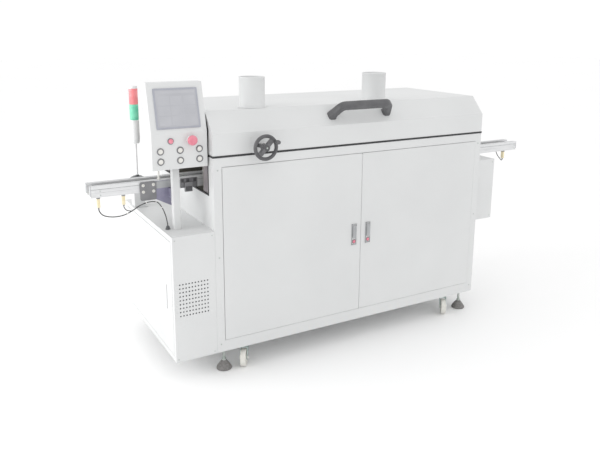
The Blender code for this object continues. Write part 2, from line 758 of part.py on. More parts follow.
# ---------------------------------------------------------------- doors
def front_doors():
    middle = BODY_LENGTH / 2
    edge = FRONT_POST_WIDTH + DOOR_GAP
    spans = {"left": (edge, middle - DOOR_GAP), "right": (middle + DOOR_GAP, BODY_LENGTH - edge)}
    lock_x = {"left": middle - LOCK_INSET, "right": middle + LOCK_INSET}
    for side, (low_x, high_x) in spans.items():
        door = open_box(
            f"front_door_{side}",
            (low_x, -DOOR_PROUD, DOOR_BOTTOM + DOOR_GAP),
            (high_x, DOOR_THICKNESS - DOOR_PROUD, DOOR_TOP - DOOR_GAP),
            [(0, 1, 0)], SHEET, POWDER_WHITE,
        )
        lock(side, door, lock_x[side])
        hinge_x = low_x - DOOR_GAP / 2 if side == "left" else high_x + DOOR_GAP / 2
        set_origin(door, (hinge_x, -DOOR_PROUD, (DOOR_BOTTOM + DOOR_TOP) / 2))


def lock(side, door, x):
    """Flush swing-out lock: a case on the door, a lever hinged at its top and a release button below it."""
    half = LOCK_WIDTH / 2
    case_face = -DOOR_PROUD - LOCK_CASE_PROUD
    join(door, box(f"lock_case_{side}", (x - half, case_face, LOCK_BOTTOM),
                   (x + half, -DOOR_PROUD + SHEET / 2, LOCK_BOTTOM + LOCK_HEIGHT)))
    lever_top = LOCK_BOTTOM + LOCK_HEIGHT - LOCK_MARGIN
    lever_back = case_face - TOUCH_GAP
    lever_half = half - LOCK_MARGIN
    lever_low = (x - lever_half, lever_back - LEVER_THICKNESS, lever_top - LEVER_LENGTH)
    lever = box(f"lock_lever_{side}", lever_low, (x + lever_half, lever_back, lever_top), ZINC)
    set_origin(lever, (x, lever_back, lever_top))
    soften(lever, LEVER_THICKNESS / 4)
    button_z = LOCK_BOTTOM + LOCK_BUTTON_RISE
    button = along_y(f"lock_button_{side}", x, lever_back - LOCK_BUTTON_PROUD, button_z, LOCK_BUTTON_RADIUS,
                     LOCK_BUTTON_DEPTH, RED, SMALL_STEPS)
    set_origin(button, (x, lever_back, button_z))
    cut(door, along_y(f"lock_button_bore_{side}", x, case_face - CUT_REACH, button_z,
                      LOCK_BUTTON_RADIUS + RUNNING_GAP, DOOR_THICKNESS + CUT_REACH, steps=SMALL_STEPS))


# ---------------------------------------------------------------- infeed and outfeed boxes
def infeed_box():
    shell = open_box(
        "infeed_box", (-INFEED_LENGTH, 0, BODY_BOTTOM), (-TOUCH_GAP, BODY_DEPTH, INFEED_TOP),
        [(1, 0, 0)], SHEET, POWDER_WHITE,
    )
    margin = SERVICE_DOOR_MARGIN
    opening_low = (-INFEED_LENGTH - CUT_REACH, margin, BODY_BOTTOM + margin)
    opening_high = (-INFEED_LENGTH + CUT_REACH, BODY_DEPTH - margin, INFEED_TOP - margin)
    cut(shell, box("service_opening", opening_low, opening_high), vent_cutter())
    service_door(opening_low, opening_high)


def vent_cutter():
    """All the vent's holes as one cutter, six-sided and in straight rows."""
    mesh = bpy.data.meshes.new("vent_holes")
    shape = bmesh.new()
    for column in range(VENT_COLUMNS):
        for row in range(VENT_ROWS):
            x = -INFEED_LENGTH + VENT_LEFT + column * VENT_PITCH_X
            z = BODY_BOTTOM + VENT_BOTTOM + row * VENT_PITCH_Z
            turn = Matrix.Translation((x, 0, z)) @ Matrix.Rotation(math.radians(90), 4, "X")
            bmesh.ops.create_cone(
                shape, cap_ends=True, segments=6, radius1=VENT_HOLE_RADIUS, radius2=VENT_HOLE_RADIUS,
                depth=4 * SHEET, matrix=turn,
            )
    shape.to_mesh(mesh)
    shape.free()
    return place(bpy.data.objects.new("vent_holes", mesh))


def service_door(opening_low, opening_high):
    outer = -INFEED_LENGTH - SHEET / 4
    low = (outer, opening_low[1] + DOOR_GAP, opening_low[2] + DOOR_GAP)
    high = (outer + SERVICE_DOOR_THICKNESS, opening_high[1] - DOOR_GAP, opening_high[2] - DOOR_GAP)
    door = box("service_door", low, high, POWDER_WHITE)
    cut(door, box("door_slot", (outer - CUT_REACH, DOOR_SLOT_Y, DOOR_SLOT_BOTTOM),
                  (outer + CUT_REACH, DOOR_SLOT_Y + DOOR_SLOT_WIDTH, DOOR_SLOT_TOP)))
    set_origin(door, (outer, opening_high[1], (low[2] + high[2]) / 2))


def outfeed_box():
    low_x = BODY_LENGTH + TOUCH_GAP
    high_x = BODY_LENGTH + OUTFEED_LENGTH
    shell = open_box(
        "outfeed_box", (low_x, OUTFEED_FRONT, OUTFEED_BOTTOM), (high_x, OUTFEED_BACK, OUTFEED_TOP),
        [(-1, 0, 0)], SHEET, POWDER_WHITE,
    )
    tab = GEARBOX_HALF + LOCK_MARGIN
    join(shell, box("motor_tab", (DRIVE_SHAFT_X - tab, OUTFEED_BACK - SHEET * 0.9, CHAIN_Z - 2 * tab),
                    (DRIVE_SHAFT_X + tab, OUTFEED_BACK - SHEET * 0.1, CHAIN_Z + tab)))
    cut(shell, along_y("motor_tab_bore", DRIVE_SHAFT_X, OUTFEED_BACK - CUT_REACH, CHAIN_Z,
                       DRIVE_SHAFT_RADIUS + RUNNING_GAP, 2 * CUT_REACH, steps=SMALL_STEPS))
    front = OUTFEED_BACK + TOUCH_GAP
    gearbox = box("conveyor_motor", (DRIVE_SHAFT_X - GEARBOX_HALF, front, CHAIN_Z - GEARBOX_HALF),
                  (DRIVE_SHAFT_X + GEARBOX_HALF, front + GEARBOX_DEPTH, CHAIN_Z + GEARBOX_HALF), DARK_STEEL)
    join(gearbox, along_y("motor_can", DRIVE_SHAFT_X, front + GEARBOX_DEPTH * 0.9, CHAIN_Z, MOTOR_RADIUS,
                          MOTOR_LENGTH))


# ---------------------------------------------------------------- conveyor
def rail(name, y, extras, finish):
    low_x = -RAIL_OVERHANG
    bar = box(name, (low_x, y, RAIL_BOTTOM), (low_x + RAIL_LENGTH, y + RAIL_WIDTH, RAIL_TOP), finish)
    half = SCREW_BLOCK_HALF
    join(bar, box(name + "_block", (SCREW_X - half, y, SCREW_Z - half),
                  (SCREW_X + half, y + RAIL_WIDTH, RAIL_BOTTOM + SHEET)), *extras)
    bores = (
        ("screw_bore", SCREW_X, SCREW_Z, SCREW_RADIUS),
        ("shaft_bore", DRIVE_SHAFT_X, CHAIN_Z, DRIVE_SHAFT_RADIUS),
    )
    for label, x, z, radius in bores:
        cut(bar, along_y(f"{name}_{label}", x, y - CUT_REACH, z, radius + RUNNING_GAP,
                         RAIL_WIDTH + 2 * CUT_REACH, steps=SMALL_STEPS))
    return bar


def sensor_bodies():
    """Board sensors that hang under the fixed rail."""
    spots = {"near": -RAIL_OVERHANG + 0.028, "inner": -RAIL_OVERHANG + 0.127,
             "outfeed": BODY_LENGTH + RAIL_OVERHANG - 0.085}
    half = SENSOR_HALF_WIDTH
    front = FRONT_RAIL_Y + SENSOR_FRONT
    return [
        box(f"sensor_{name}", (x - half, front, RAIL_BOTTOM - SENSOR_LENGTH),
            (x + half, front + SENSOR_DEPTH, RAIL_BOTTOM + SHEET / 2))
        for name, x in spots.items()
    ]


def chain(name, y):
    low = (-RAIL_OVERHANG + CHAIN_END_MARGIN + CHAIN_HALF_HEIGHT, CHAIN_Z)
    high = (BODY_LENGTH + RAIL_OVERHANG - CHAIN_END_MARGIN - CHAIN_HALF_HEIGHT, CHAIN_Z)
    outlines = [
        racetrack(low, high, CHAIN_HALF_HEIGHT, 8),
        racetrack(low, high, CHAIN_HALF_HEIGHT - CHAIN_THICKNESS, 8),
    ]
    flat_plate(name, outlines, "XZ", y, CHAIN_WIDTH, DARK_STEEL)


def conveyor():
    rail("front_rail", FRONT_RAIL_Y, sensor_bodies(), ALUMINIUM)
    rail("rear_rail", REAR_RAIL_Y, [], ALUMINIUM)
    front_chain_y = FRONT_RAIL_Y + RAIL_WIDTH + TOUCH_GAP
    rear_chain_y = REAR_RAIL_Y - TOUCH_GAP - CHAIN_WIDTH
    chain("front_chain", front_chain_y)
    chain("rear_chain", rear_chain_y)

    shaft_start = FRONT_RAIL_Y - CHAIN_END_MARGIN
    shaft = along_y("drive_shaft", DRIVE_SHAFT_X, shaft_start, CHAIN_Z, DRIVE_SHAFT_RADIUS,
                    OUTFEED_BACK - shaft_start, ZINC, SMALL_STEPS)
    join(shaft, along_y("front_sprocket", DRIVE_SHAFT_X, front_chain_y, CHAIN_Z, DRIVE_SPROCKET_RADIUS,
                        CHAIN_WIDTH, steps=SMALL_STEPS))
    sprocket = along_y("rear_sprocket", DRIVE_SHAFT_X, rear_chain_y, CHAIN_Z, DRIVE_SPROCKET_RADIUS,
                       CHAIN_WIDTH, ZINC, SMALL_STEPS)
    cut(sprocket, along_y("sprocket_bore", DRIVE_SHAFT_X, rear_chain_y - CUT_REACH, CHAIN_Z,
                          DRIVE_SHAFT_RADIUS + RUNNING_GAP, CHAIN_WIDTH + 2 * CUT_REACH, steps=SMALL_STEPS))
    rail_bracket()
    width_drive()


def rail_bracket():
    """Gusset that ties the fixed rail to the pod's post."""
    left = POST_X - BRACKET_REACH
    right = POST_X + POST_WIDTH / 2
    top = RAIL_TOP - SHEET
    bottom = RAIL_BOTTOM - BRACKET_DROP
    y = FRONT_RAIL_Y - TOUCH_GAP - BRACKET_THICKNESS
    outline = [
        (left, top), (left, bottom), (left + BRACKET_PLATE_WIDTH, bottom),
        (right, RAIL_BOTTOM - BRACKET_CORNER_DROP), (right, top),
    ]
    plate = flat_plate("rail_bracket", [outline], "XZ", y, BRACKET_THICKNESS, DARK_STEEL)
    arm_low = (POST_X - POST_WIDTH / 2, POST_Y + POST_WIDTH / 2 + TOUCH_GAP, bottom + CUT_REACH)
    arm_high = (right, y + BRACKET_THICKNESS / 2, RAIL_BOTTOM + CUT_REACH)
    join(plate, box("bracket_arm", arm_low, arm_high))


def width_drive():
    """Handwheel, chain and screw that move the rear rail."""
    screw = along_y("width_screw", SCREW_X, ADJUST_CHAIN_Y - 0.012, SCREW_Z, SCREW_RADIUS,
                    MOUTH_BACK - ADJUST_CHAIN_Y, ZINC, SMALL_STEPS)
    join(screw, along_y("screw_sprocket", SCREW_X, ADJUST_CHAIN_Y - ADJUST_CHAIN_WIDTH / 2, SCREW_Z,
                        SPROCKET_RADIUS, ADJUST_CHAIN_WIDTH, steps=SMALL_STEPS))
    low = (SCREW_X, SCREW_Z)
    high = (SCREW_X, HANDWHEEL_Z)
    inner = SPROCKET_RADIUS + RUNNING_GAP
    flat_plate(
        "adjust_chain",
        [racetrack(low, high, inner + CHAIN_THICKNESS, 10), racetrack(low, high, inner, 10)],
        "XZ", ADJUST_CHAIN_Y - ADJUST_CHAIN_WIDTH / 2, ADJUST_CHAIN_WIDTH, DARK_STEEL,
    )
    handwheel()


def handwheel():
    y = HANDWHEEL_Y
    centre = (SCREW_X, y, HANDWHEEL_Z)
    shaft_end = ADJUST_CHAIN_Y + 0.01
    wheel = along_y("handwheel", SCREW_X, y, HANDWHEEL_Z, HANDWHEEL_SHAFT_RADIUS, shaft_end - y, CHARCOAL)
    rim_centre = HANDWHEEL_RADIUS - HANDWHEEL_RIM_RADIUS
    rim_profile = [
        (rim_centre + HANDWHEEL_RIM_RADIUS * math.sin(angle), HANDWHEEL_RIM_RADIUS * math.cos(angle))
        for angle in (math.tau * step / 8 for step in range(8))
    ]
    rim = turned("wheel_rim", rim_profile, centre, closed=True, axis=(0, -1, 0))
    web = box("wheel_web", (-rim_centre, -WEB_HALF_DEPTH, -WEB_HALF_WIDTH),
              (rim_centre, WEB_HALF_DEPTH, WEB_HALF_WIDTH))
    web.location = centre
    web.rotation_euler = (0, -WEB_ANGLE, 0)
    hub = along_y("wheel_hub", SCREW_X, y - HUB_PROUD, HANDWHEEL_Z, HUB_RADIUS, HUB_LENGTH)
    sprocket = along_y("wheel_sprocket", SCREW_X, ADJUST_CHAIN_Y - ADJUST_CHAIN_WIDTH / 2, HANDWHEEL_Z,
                       SPROCKET_RADIUS, ADJUST_CHAIN_WIDTH, steps=SMALL_STEPS)
    join(wheel, rim, web, hub, sprocket)
    set_origin(wheel, centre)
    knob_x = SCREW_X + rim_centre * math.cos(KNOB_ANGLE)
    knob_z = HANDWHEEL_Z + rim_centre * math.sin(KNOB_ANGLE)
    half = KNOB_LENGTH / 2
    profile = [
        (0, half), (KNOB_RADIUS * 0.8, half), (KNOB_RADIUS, half * 0.7), (KNOB_RADIUS * 0.75, -half),
        (0, -half),
    ]
    turned("handwheel_knob", profile, (knob_x, KNOB_TIP_Y + half, knob_z), CHARCOAL,
           steps=SMALL_STEPS, axis=(0, -1, 0))


# ---------------------------------------------------------------- control pod
def pod():
    outline = [
        (POD_FRONT, POD_BOTTOM), (POD_BACK, POD_BOTTOM), (POD_BACK, POD_TOP),
        (POD_TOP_FRONT, POD_TOP), (POD_FRONT, POD_BEND),
    ]
    wall = SHEET
    housing = flat_plate("pod_housing", [outline], "YZ", POD_LEFT, POD_WIDTH, POWDER_WHITE)
    hollow = [
        (POD_FRONT + wall, POD_BOTTOM - CUT_REACH), (POD_BACK - wall, POD_BOTTOM - CUT_REACH),
        (POD_BACK - wall, POD_TOP - wall), (POD_TOP_FRONT + wall, POD_TOP - wall),
        (POD_FRONT + wall, POD_BEND),
    ]
    cut(housing, flat_plate("pod_hollow", [hollow], "YZ", POD_LEFT + wall, POD_WIDTH - 2 * wall))
    half = POST_WIDTH / 2
    box("pod_post", (POST_X - half, POST_Y - half, INFEED_TOP + TOUCH_GAP),
        (POST_X + half, POST_Y + half, POD_BOTTOM + POST_OVERLAP), POWDER_WHITE)
    touchscreen()
    pod_controls(housing)


def touchscreen():
    tilt = math.atan2(POD_TOP_FRONT - POD_FRONT, POD_TOP - POD_BEND)
    up_face = Vector((0, math.sin(tilt), math.cos(tilt)))
    outward = Vector((0, -math.cos(tilt), math.sin(tilt)))
    foot = Vector((POD_CENTRE_X, POD_FRONT, POD_BEND))
    centre = foot + up_face * (SCREEN_MARGIN + SCREEN_HEIGHT / 2)
    centre += outward * (SCREEN_THICKNESS / 2 + TOUCH_GAP)
    size = Vector((SCREEN_WIDTH, SCREEN_THICKNESS, SCREEN_HEIGHT)) / 2
    screen = box("touchscreen", -size, size, SCREEN_GREY)
    screen.location = centre
    screen.rotation_euler = (-tilt, 0, 0)
    soften(screen, 0.001, segments=1)


def pod_controls(housing):
    stop_x = POD_CENTRE_X + STOP_OFFSET
    lamp_x = POD_CENTRE_X + LAMP_OFFSET
    stem = STOP_STEM_RADIUS
    stop_profile = [
        (0, 0.030), (0.011, 0.0292), (0.0175, 0.0265), (STOP_RADIUS, 0.022), (STOP_RADIUS, 0.016),
        (stem, 0.013), (stem, -0.025), (0, -0.025),
    ]
    stop = turned("emergency_stop", stop_profile, (stop_x, POD_FRONT, CONTROL_ROW_Z), RED, axis=(0, -1, 0))
    smooth(stop)
    lamp_profile = [
        (0, 0.013), (0.006, 0.012), (0.009, 0.009), (0.0095, 0.004), (LAMP_RADIUS, 0.003),
        (LAMP_RADIUS, 0), (0, 0),
    ]
    turned("pilot_lamp", lamp_profile, (lamp_x, POD_FRONT - TOUCH_GAP, CONTROL_ROW_Z), RED, axis=(0, -1, 0))
    cut(housing, along_y("stop_bore", stop_x, POD_FRONT - CUT_REACH, CONTROL_ROW_Z, stem + RUNNING_GAP,
                         2 * CUT_REACH, steps=SMALL_STEPS))
    for number in range(6):
        column = number % 3 - 1
        row = 1 - number // 3
        x = POD_CENTRE_X + column * BUTTON_PITCH_X
        z = BUTTON_LOW_Z + row * BUTTON_PITCH_Z
        along_y(f"push_button_{number + 1}", x, POD_FRONT - BUTTON_PROUD, z, BUTTON_RADIUS, BUTTON_DEPTH,
                CAP_WHITE, SMALL_STEPS)
        cut(housing, along_y(f"button_bore_{number + 1}", x, POD_FRONT - CUT_REACH, z,
                             BUTTON_RADIUS + RUNNING_GAP, 2 * CUT_REACH, steps=SMALL_STEPS))


# ---------------------------------------------------------------- tower light
def tower_light():
    half = PEDESTAL_WIDTH / 2
    start = (TOWER_X, TOWER_Y, 0)
    top = TOWER_LAMP_BOTTOM + TOWER_BASE_HEIGHT
    flange_top = PEDESTAL_TOP + TOWER_FLANGE_HEIGHT
    sunk = PEDESTAL_TOP - TOWER_FLANGE_SUNK
    profile = [
        (0, top), (TOWER_LAMP_RADIUS, top), (TOWER_LAMP_RADIUS, TOWER_LAMP_BOTTOM),
        (TOWER_POLE_RADIUS, TOWER_LAMP_BOTTOM), (TOWER_POLE_RADIUS, flange_top),
        (TOWER_FLANGE_RADIUS, flange_top), (TOWER_FLANGE_RADIUS, sunk), (0, sunk),
    ]
    base = turned("tower_base", profile, start, LAMP_WHITE)
    join(base, box("pedestal", (TOWER_X - half, TOWER_Y - half, INFEED_TOP + TOUCH_GAP),
                   (TOWER_X + half, TOWER_Y + half, PEDESTAL_TOP)))
    module("tower_green", top, TOWER_MODULE_HEIGHT, 0, LENS_GREEN)
    module("tower_red", top + TOWER_MODULE_HEIGHT, TOWER_MODULE_HEIGHT, TOWER_CAP_HEIGHT, LENS_RED)


def module(name, bottom, height, cap, finish):
    """One lamp module; a cap above it is a little narrower."""
    low = bottom + TOUCH_GAP
    high = bottom + height
    cap_radius = TOWER_LAMP_RADIUS * 0.92
    profile = [(TOWER_LAMP_RADIUS, high), (TOWER_LAMP_RADIUS, low), (0, low)]
    if cap:
        profile = [(0, high + cap), (cap_radius, high + cap), (cap_radius, high)] + profile
    else:
        profile = [(0, high)] + profile
    smooth(turned(name, profile, (TOWER_X, TOWER_Y, 0), finish))


# ---------------------------------------------------------------- sensor lead
def sensor_lead():
    """Lead from the near board sensor, along the rail bracket and down into the infeed box's gland."""
    rail_y = FRONT_RAIL_Y
    route = [
        (-RAIL_OVERHANG + 0.028, rail_y + 0.010, 0.7445),
        (-RAIL_OVERHANG + 0.031, rail_y + 0.009, 0.728),
        (-RAIL_OVERHANG + 0.045, rail_y + 0.004, 0.711),
        (-RAIL_OVERHANG + 0.078, rail_y - 0.004, 0.703),
        (-RAIL_OVERHANG + 0.118, rail_y - 0.010, 0.706),
        (-RAIL_OVERHANG + 0.152, rail_y - 0.014, 0.720),
        (-RAIL_OVERHANG + 0.185, rail_y - 0.018, 0.738),
        (-RAIL_OVERHANG + 0.222, rail_y - 0.022, 0.744),
        (-RAIL_OVERHANG + 0.252, rail_y - 0.030, 0.735),
        (-RAIL_OVERHANG + 0.268, rail_y - 0.040, 0.711),
        (-RAIL_OVERHANG + 0.278, rail_y - 0.048, 0.680),
        (-RAIL_OVERHANG + 0.284, rail_y - 0.052, 0.655),
        (-RAIL_OVERHANG + 0.285, rail_y - 0.053, INFEED_TOP + 0.001),
    ]
    tube("sensor_lead", smooth_route(route, 4), 0.0021, CABLE_BLACK, resolution=2)


def smooth_route(route, steps):
    """Points on the smooth curve that passes through every point of the route."""
    ends = [Vector(route[0]), *(Vector(point) for point in route), Vector(route[-1])]
    path = []
    for before, start, end, after in zip(ends, ends[1:], ends[2:], ends[3:]):
        for step in range(steps):
            t = step / steps
            path.append(0.5 * (
                2 * start + (end - before) * t
                + (2 * before - 5 * start + 4 * end - after) * t ** 2
                + (3 * start - before - 3 * end + after) * t ** 3
            ))
    path.append(Vector(route[-1]))
    return path


# ---------------------------------------------------------------- feet and casters
def corners(inset_x, inset_y):
    right = BODY_LENGTH - inset_x
    back = BODY_DEPTH - inset_y
    return {
        "front_left": (inset_x, inset_y), "front_right": (right, inset_y),
        "back_left": (inset_x, back), "back_right": (right, back),
    }


def feet():
    top = BODY_BOTTOM - TOUCH_GAP
    profile = [
        (0, top), (FOOT_STEM_RADIUS, top), (FOOT_STEM_RADIUS, 0.046), (0.011, 0.046), (0.011, 0.036),
        (0.0135, 0.034), (0.021, 0.027), (0.029, 0.014), (FOOT_PAD_RADIUS, 0.009), (FOOT_PAD_RADIUS, 0),
        (0, 0),
    ]
    for corner, (x, y) in corners(FOOT_X, FOOT_Y).items():
        smooth(turned(f"foot_{corner}", profile, (x, y, 0), RUBBER))


def casters():
    for corner, (x, y) in corners(CASTER_X, CASTER_Y).items():
        pivot = bpy.data.objects.new(f"caster_pivot_{corner}", None)
        pivot.location = (x, y, 0)
        pivot.rotation_euler = (0, 0, CASTER_HEADING)
        PARTS.objects.link(pivot)
        pivot.parent = ORIGIN
        caster(corner, pivot)


def caster(corner, pivot):
    """One swivel caster in its pivot's frame: the wheel trails along +X."""
    axle_z = CASTER_WHEEL_RADIUS + CASTER_FLOOR_GAP
    inner = CASTER_WHEEL_WIDTH / 2 + CASTER_SIDE_GAP
    leg = CASTER_LEG
    crown = CASTER_CROWN
    race_centre = (0, 0, CASTER_HEIGHT - CASTER_RACE_HEIGHT / 2)
    fork = cylinder(f"caster_fork_{corner}", race_centre, CASTER_RACE_RADIUS, CASTER_RACE_HEIGHT, (0, 0, 1),
                    ZINC, 20)
    plate = box(f"crown_{corner}", (-0.020, -inner - leg, crown - SHEET), (0.030, inner + leg, crown + SHEET))
    outline = [
        (-0.018, crown), (0.030, crown), (CASTER_TRAIL + 0.009, axle_z + 0.004),
        (CASTER_TRAIL + 0.005, axle_z - 0.008), (CASTER_TRAIL - 0.006, axle_z - 0.008),
    ]
    legs = [
        flat_plate(f"leg_{name}_{corner}", [outline], "XZ", y, leg)
        for name, y in (("near", -inner - leg), ("far", inner))
    ]
    reach = inner + leg + SHEET
    axle = along_y(f"axle_{corner}", CASTER_TRAIL, -reach, axle_z, CASTER_AXLE_RADIUS, 2 * reach,
                   steps=SMALL_STEPS)
    join(fork, plate, *legs, axle)
    bore = CASTER_AXLE_RADIUS + RUNNING_GAP
    half = CASTER_WHEEL_WIDTH / 2
    tread = CASTER_TREAD
    profile = [
        (bore, half), (CASTER_WHEEL_RADIUS - tread, half), (CASTER_WHEEL_RADIUS, half - tread),
        (CASTER_WHEEL_RADIUS, tread - half), (CASTER_WHEEL_RADIUS - tread, -half), (bore, -half),
    ]
    wheel = turned(f"caster_wheel_{corner}", profile, (CASTER_TRAIL, 0, axle_z), WHEEL_NYLON,
                   closed=True, axis=(0, 1, 0))
    for piece in (fork, plate, *legs, axle, wheel):
        piece.parent = pivot


# ---------------------------------------------------------------- assembly
cabinet()
lower_chamber()
lid()
front_doors()
infeed_box()
outfeed_box()
conveyor()
pod()
tower_light()
sensor_lead()
feet()
casters()
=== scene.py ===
"""Looks of the reflow oven: finishes, fittings, soft studio light and the camera.

Metres, +X from the infeed end to the outfeed end, +Y from the front to the back, +Z up, floor at Z = 0.
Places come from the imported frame's own boxes. Each piece rides on the body that carries it.
"""

import json
import math

import bmesh
import bpy
from mathutils import Matrix, Vector


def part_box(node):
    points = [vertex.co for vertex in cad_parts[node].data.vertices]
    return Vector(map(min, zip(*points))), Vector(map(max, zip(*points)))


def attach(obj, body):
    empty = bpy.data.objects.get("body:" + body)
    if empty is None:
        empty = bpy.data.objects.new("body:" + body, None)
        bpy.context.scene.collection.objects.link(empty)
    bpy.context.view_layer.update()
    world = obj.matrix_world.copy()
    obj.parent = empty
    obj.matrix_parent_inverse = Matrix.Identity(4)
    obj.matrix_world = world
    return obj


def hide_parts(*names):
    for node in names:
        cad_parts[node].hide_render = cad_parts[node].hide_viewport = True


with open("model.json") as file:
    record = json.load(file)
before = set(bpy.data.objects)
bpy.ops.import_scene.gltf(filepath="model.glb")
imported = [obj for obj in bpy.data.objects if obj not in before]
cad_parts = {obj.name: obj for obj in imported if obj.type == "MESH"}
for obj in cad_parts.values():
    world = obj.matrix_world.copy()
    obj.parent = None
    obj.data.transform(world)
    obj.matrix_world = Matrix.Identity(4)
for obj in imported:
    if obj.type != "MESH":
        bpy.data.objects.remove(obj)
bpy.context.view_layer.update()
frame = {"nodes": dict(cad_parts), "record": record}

X_AXIS = Vector((1, 0, 0))
Y_AXIS = Vector((0, 1, 0))
Z_AXIS = Vector((0, 0, 1))
OUT = -Y_AXIS
ROUND = 48

# ---------------------------------------------------------------- places taken from the frame
BODY_LOW, BODY_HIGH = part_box("body_shell")
LID_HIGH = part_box("lid_shell")[1]
RAIL_LOW, RAIL_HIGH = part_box("front_rail")
REAR_RAIL_LOW, REAR_RAIL_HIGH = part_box("rear_rail")
POD_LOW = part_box("pod_housing")[0]
INFEED_LOW, INFEED_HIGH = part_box("infeed_box")
OUTFEED_LOW, OUTFEED_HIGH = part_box("outfeed_box")
SHEET = 0.002
CORNER = Vector((BODY_LOW.x, BODY_LOW.y, 0))
LENGTH = BODY_HIGH.x - BODY_LOW.x
DEPTH = BODY_HIGH.y - BODY_LOW.y
LID_HEIGHT = 0.171
SLOPE_RISE = 0.083
SLOPE_RUN = 0.076
LID_BOTTOM = LID_HIGH.z - LID_HEIGHT
WALL_TOP = LID_BOTTOM - 0.004
RAIL_TOP = RAIL_HIGH.z
RAIL_BOTTOM = RAIL_TOP - 0.045
RAIL_REACH = CORNER.x - RAIL_LOW.x
RAIL_FACE = RAIL_LOW.y - CORNER.y
RAIL_BACK = RAIL_HIGH.y - CORNER.y
SHAFT_X = LENGTH + 0.07
CHAIN_Z = RAIL_BOTTOM + 0.0216
MOUTH_FRONT = 0.055
MOUTH_BACK = 0.62
MOUTH_BOTTOM = 0.775
POD_FACE = POD_LOW.y - CORNER.y
BOX_TOP = INFEED_HIGH.z
WHEEL_PLANE = -0.06
WHEEL_Z = 0.972
TOWER_RADIUS = 0.0195
CASTER_TRAIL = 0.036
CASTER_AXLE_Z = 0.0392
CASTER_HEADING = math.radians(236)
CASTER_HALF = 0.012
CASTER_INNER = 0.0135
CASTER_LEG = 0.0025
SENSOR_XS = (-RAIL_REACH + 0.028, -RAIL_REACH + 0.127, LENGTH + RAIL_REACH - 0.085)
CORNERS = ("front_left", "front_right", "back_left", "back_right")


def middle(name):
    low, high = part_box(name)
    return (low + high) / 2


def at(x, y, z):
    """A point measured from the cabinet's front left corner at the floor."""
    return CORNER + Vector((x, y, z))


# ---------------------------------------------------------------- finishes
def noise(made, scale, detail, vector):
    """A noise texture in a material, laid out along the given coordinates."""
    texture = made.node_tree.nodes.new("ShaderNodeTexNoise")
    texture.inputs["Scale"].default_value = scale
    texture.inputs["Detail"].default_value = detail
    made.node_tree.links.new(vector, texture.inputs["Vector"])
    return texture.outputs["Fac"]


def ranged(made, value, **limits):
    """A value mapped from one range to another."""
    mapped = made.node_tree.nodes.new("ShaderNodeMapRange")
    for name, limit in limits.items():
        mapped.inputs[name.replace("_", " ")].default_value = limit
    made.node_tree.links.new(value, mapped.inputs["Value"])
    return mapped.outputs["Result"]


def ramped(made, value, stops):
    """A colour picked from a ramp whose stops list (position, colour)."""
    ramp = made.node_tree.nodes.new("ShaderNodeValToRGB")
    elements = ramp.color_ramp.elements
    for index, (position, colour) in enumerate(stops):
        stop = elements[index] if index < 2 else elements.new(position)
        stop.position = position
        stop.color = (*colour, 1)
    made.node_tree.links.new(value, ramp.inputs["Fac"])
    return ramp.outputs["Color"]


def recolour(made):
    """A colour mix put between a finish's shade and its base colour."""
    skin = made.node_tree.nodes["Principled BSDF"]
    mix = made.node_tree.nodes.new("ShaderNodeMix")
    mix.data_type = "RGBA"
    colour = skin.inputs["Base Color"].links[0].from_socket
    made.node_tree.links.new(colour, mix.inputs[6])
    made.node_tree.links.new(mix.outputs[2], skin.inputs["Base Color"])
    return mix


def surface(name, dark, light, rough, metallic=0.0, cloud=3.0, grain=600.0, relief=0.00004,
            stretch=(1, 1, 1), spread=0.06, coat=0.0, glow=0.0):
    """A finish that drifts between two close shades, with a grain in its roughness and relief."""
    made = bpy.data.materials.new(name)
    made.use_nodes = True
    nodes = made.node_tree.nodes
    links = made.node_tree.links
    skin = nodes["Principled BSDF"]
    skin.inputs["Metallic"].default_value = metallic
    skin.inputs["Coat Weight"].default_value = coat

    place = nodes.new("ShaderNodeTexCoord")
    scaled = nodes.new("ShaderNodeMapping")
    scaled.inputs["Scale"].default_value = stretch
    links.new(place.outputs["Object"], scaled.inputs["Vector"])
    drift = noise(made, cloud, 5, scaled.outputs["Vector"])
    shade = ramped(made, drift, ((0.35, dark), (0.65, light)))
    links.new(shade, skin.inputs["Base Color"])
    if glow:
        links.new(shade, skin.inputs["Emission Color"])
        skin.inputs["Emission Strength"].default_value = glow

    fine = noise(made, grain, 2, scaled.outputs["Vector"])
    links.new(ranged(made, fine, To_Min=rough - spread, To_Max=rough + spread), skin.inputs["Roughness"])
    bump = nodes.new("ShaderNodeBump")
    bump.inputs["Strength"].default_value = 0.35
    bump.inputs["Distance"].default_value = relief
    links.new(fine, bump.inputs["Height"])
    links.new(bump.outputs["Normal"], skin.inputs["Normal"])
    return made


def worn(made, edge_colour, start=0.52, end=0.62):
    """Lighten a finish where convex edges are rubbed."""
    shape = made.node_tree.nodes.new("ShaderNodeNewGeometry")
    amount = ranged(made, shape.outputs["Pointiness"], From_Min=start, From_Max=end, To_Max=0.6)
    mix = recolour(made)
    mix.inputs[7].default_value = (*edge_colour, 1)
    made.node_tree.links.new(amount, mix.inputs[0])
    return made


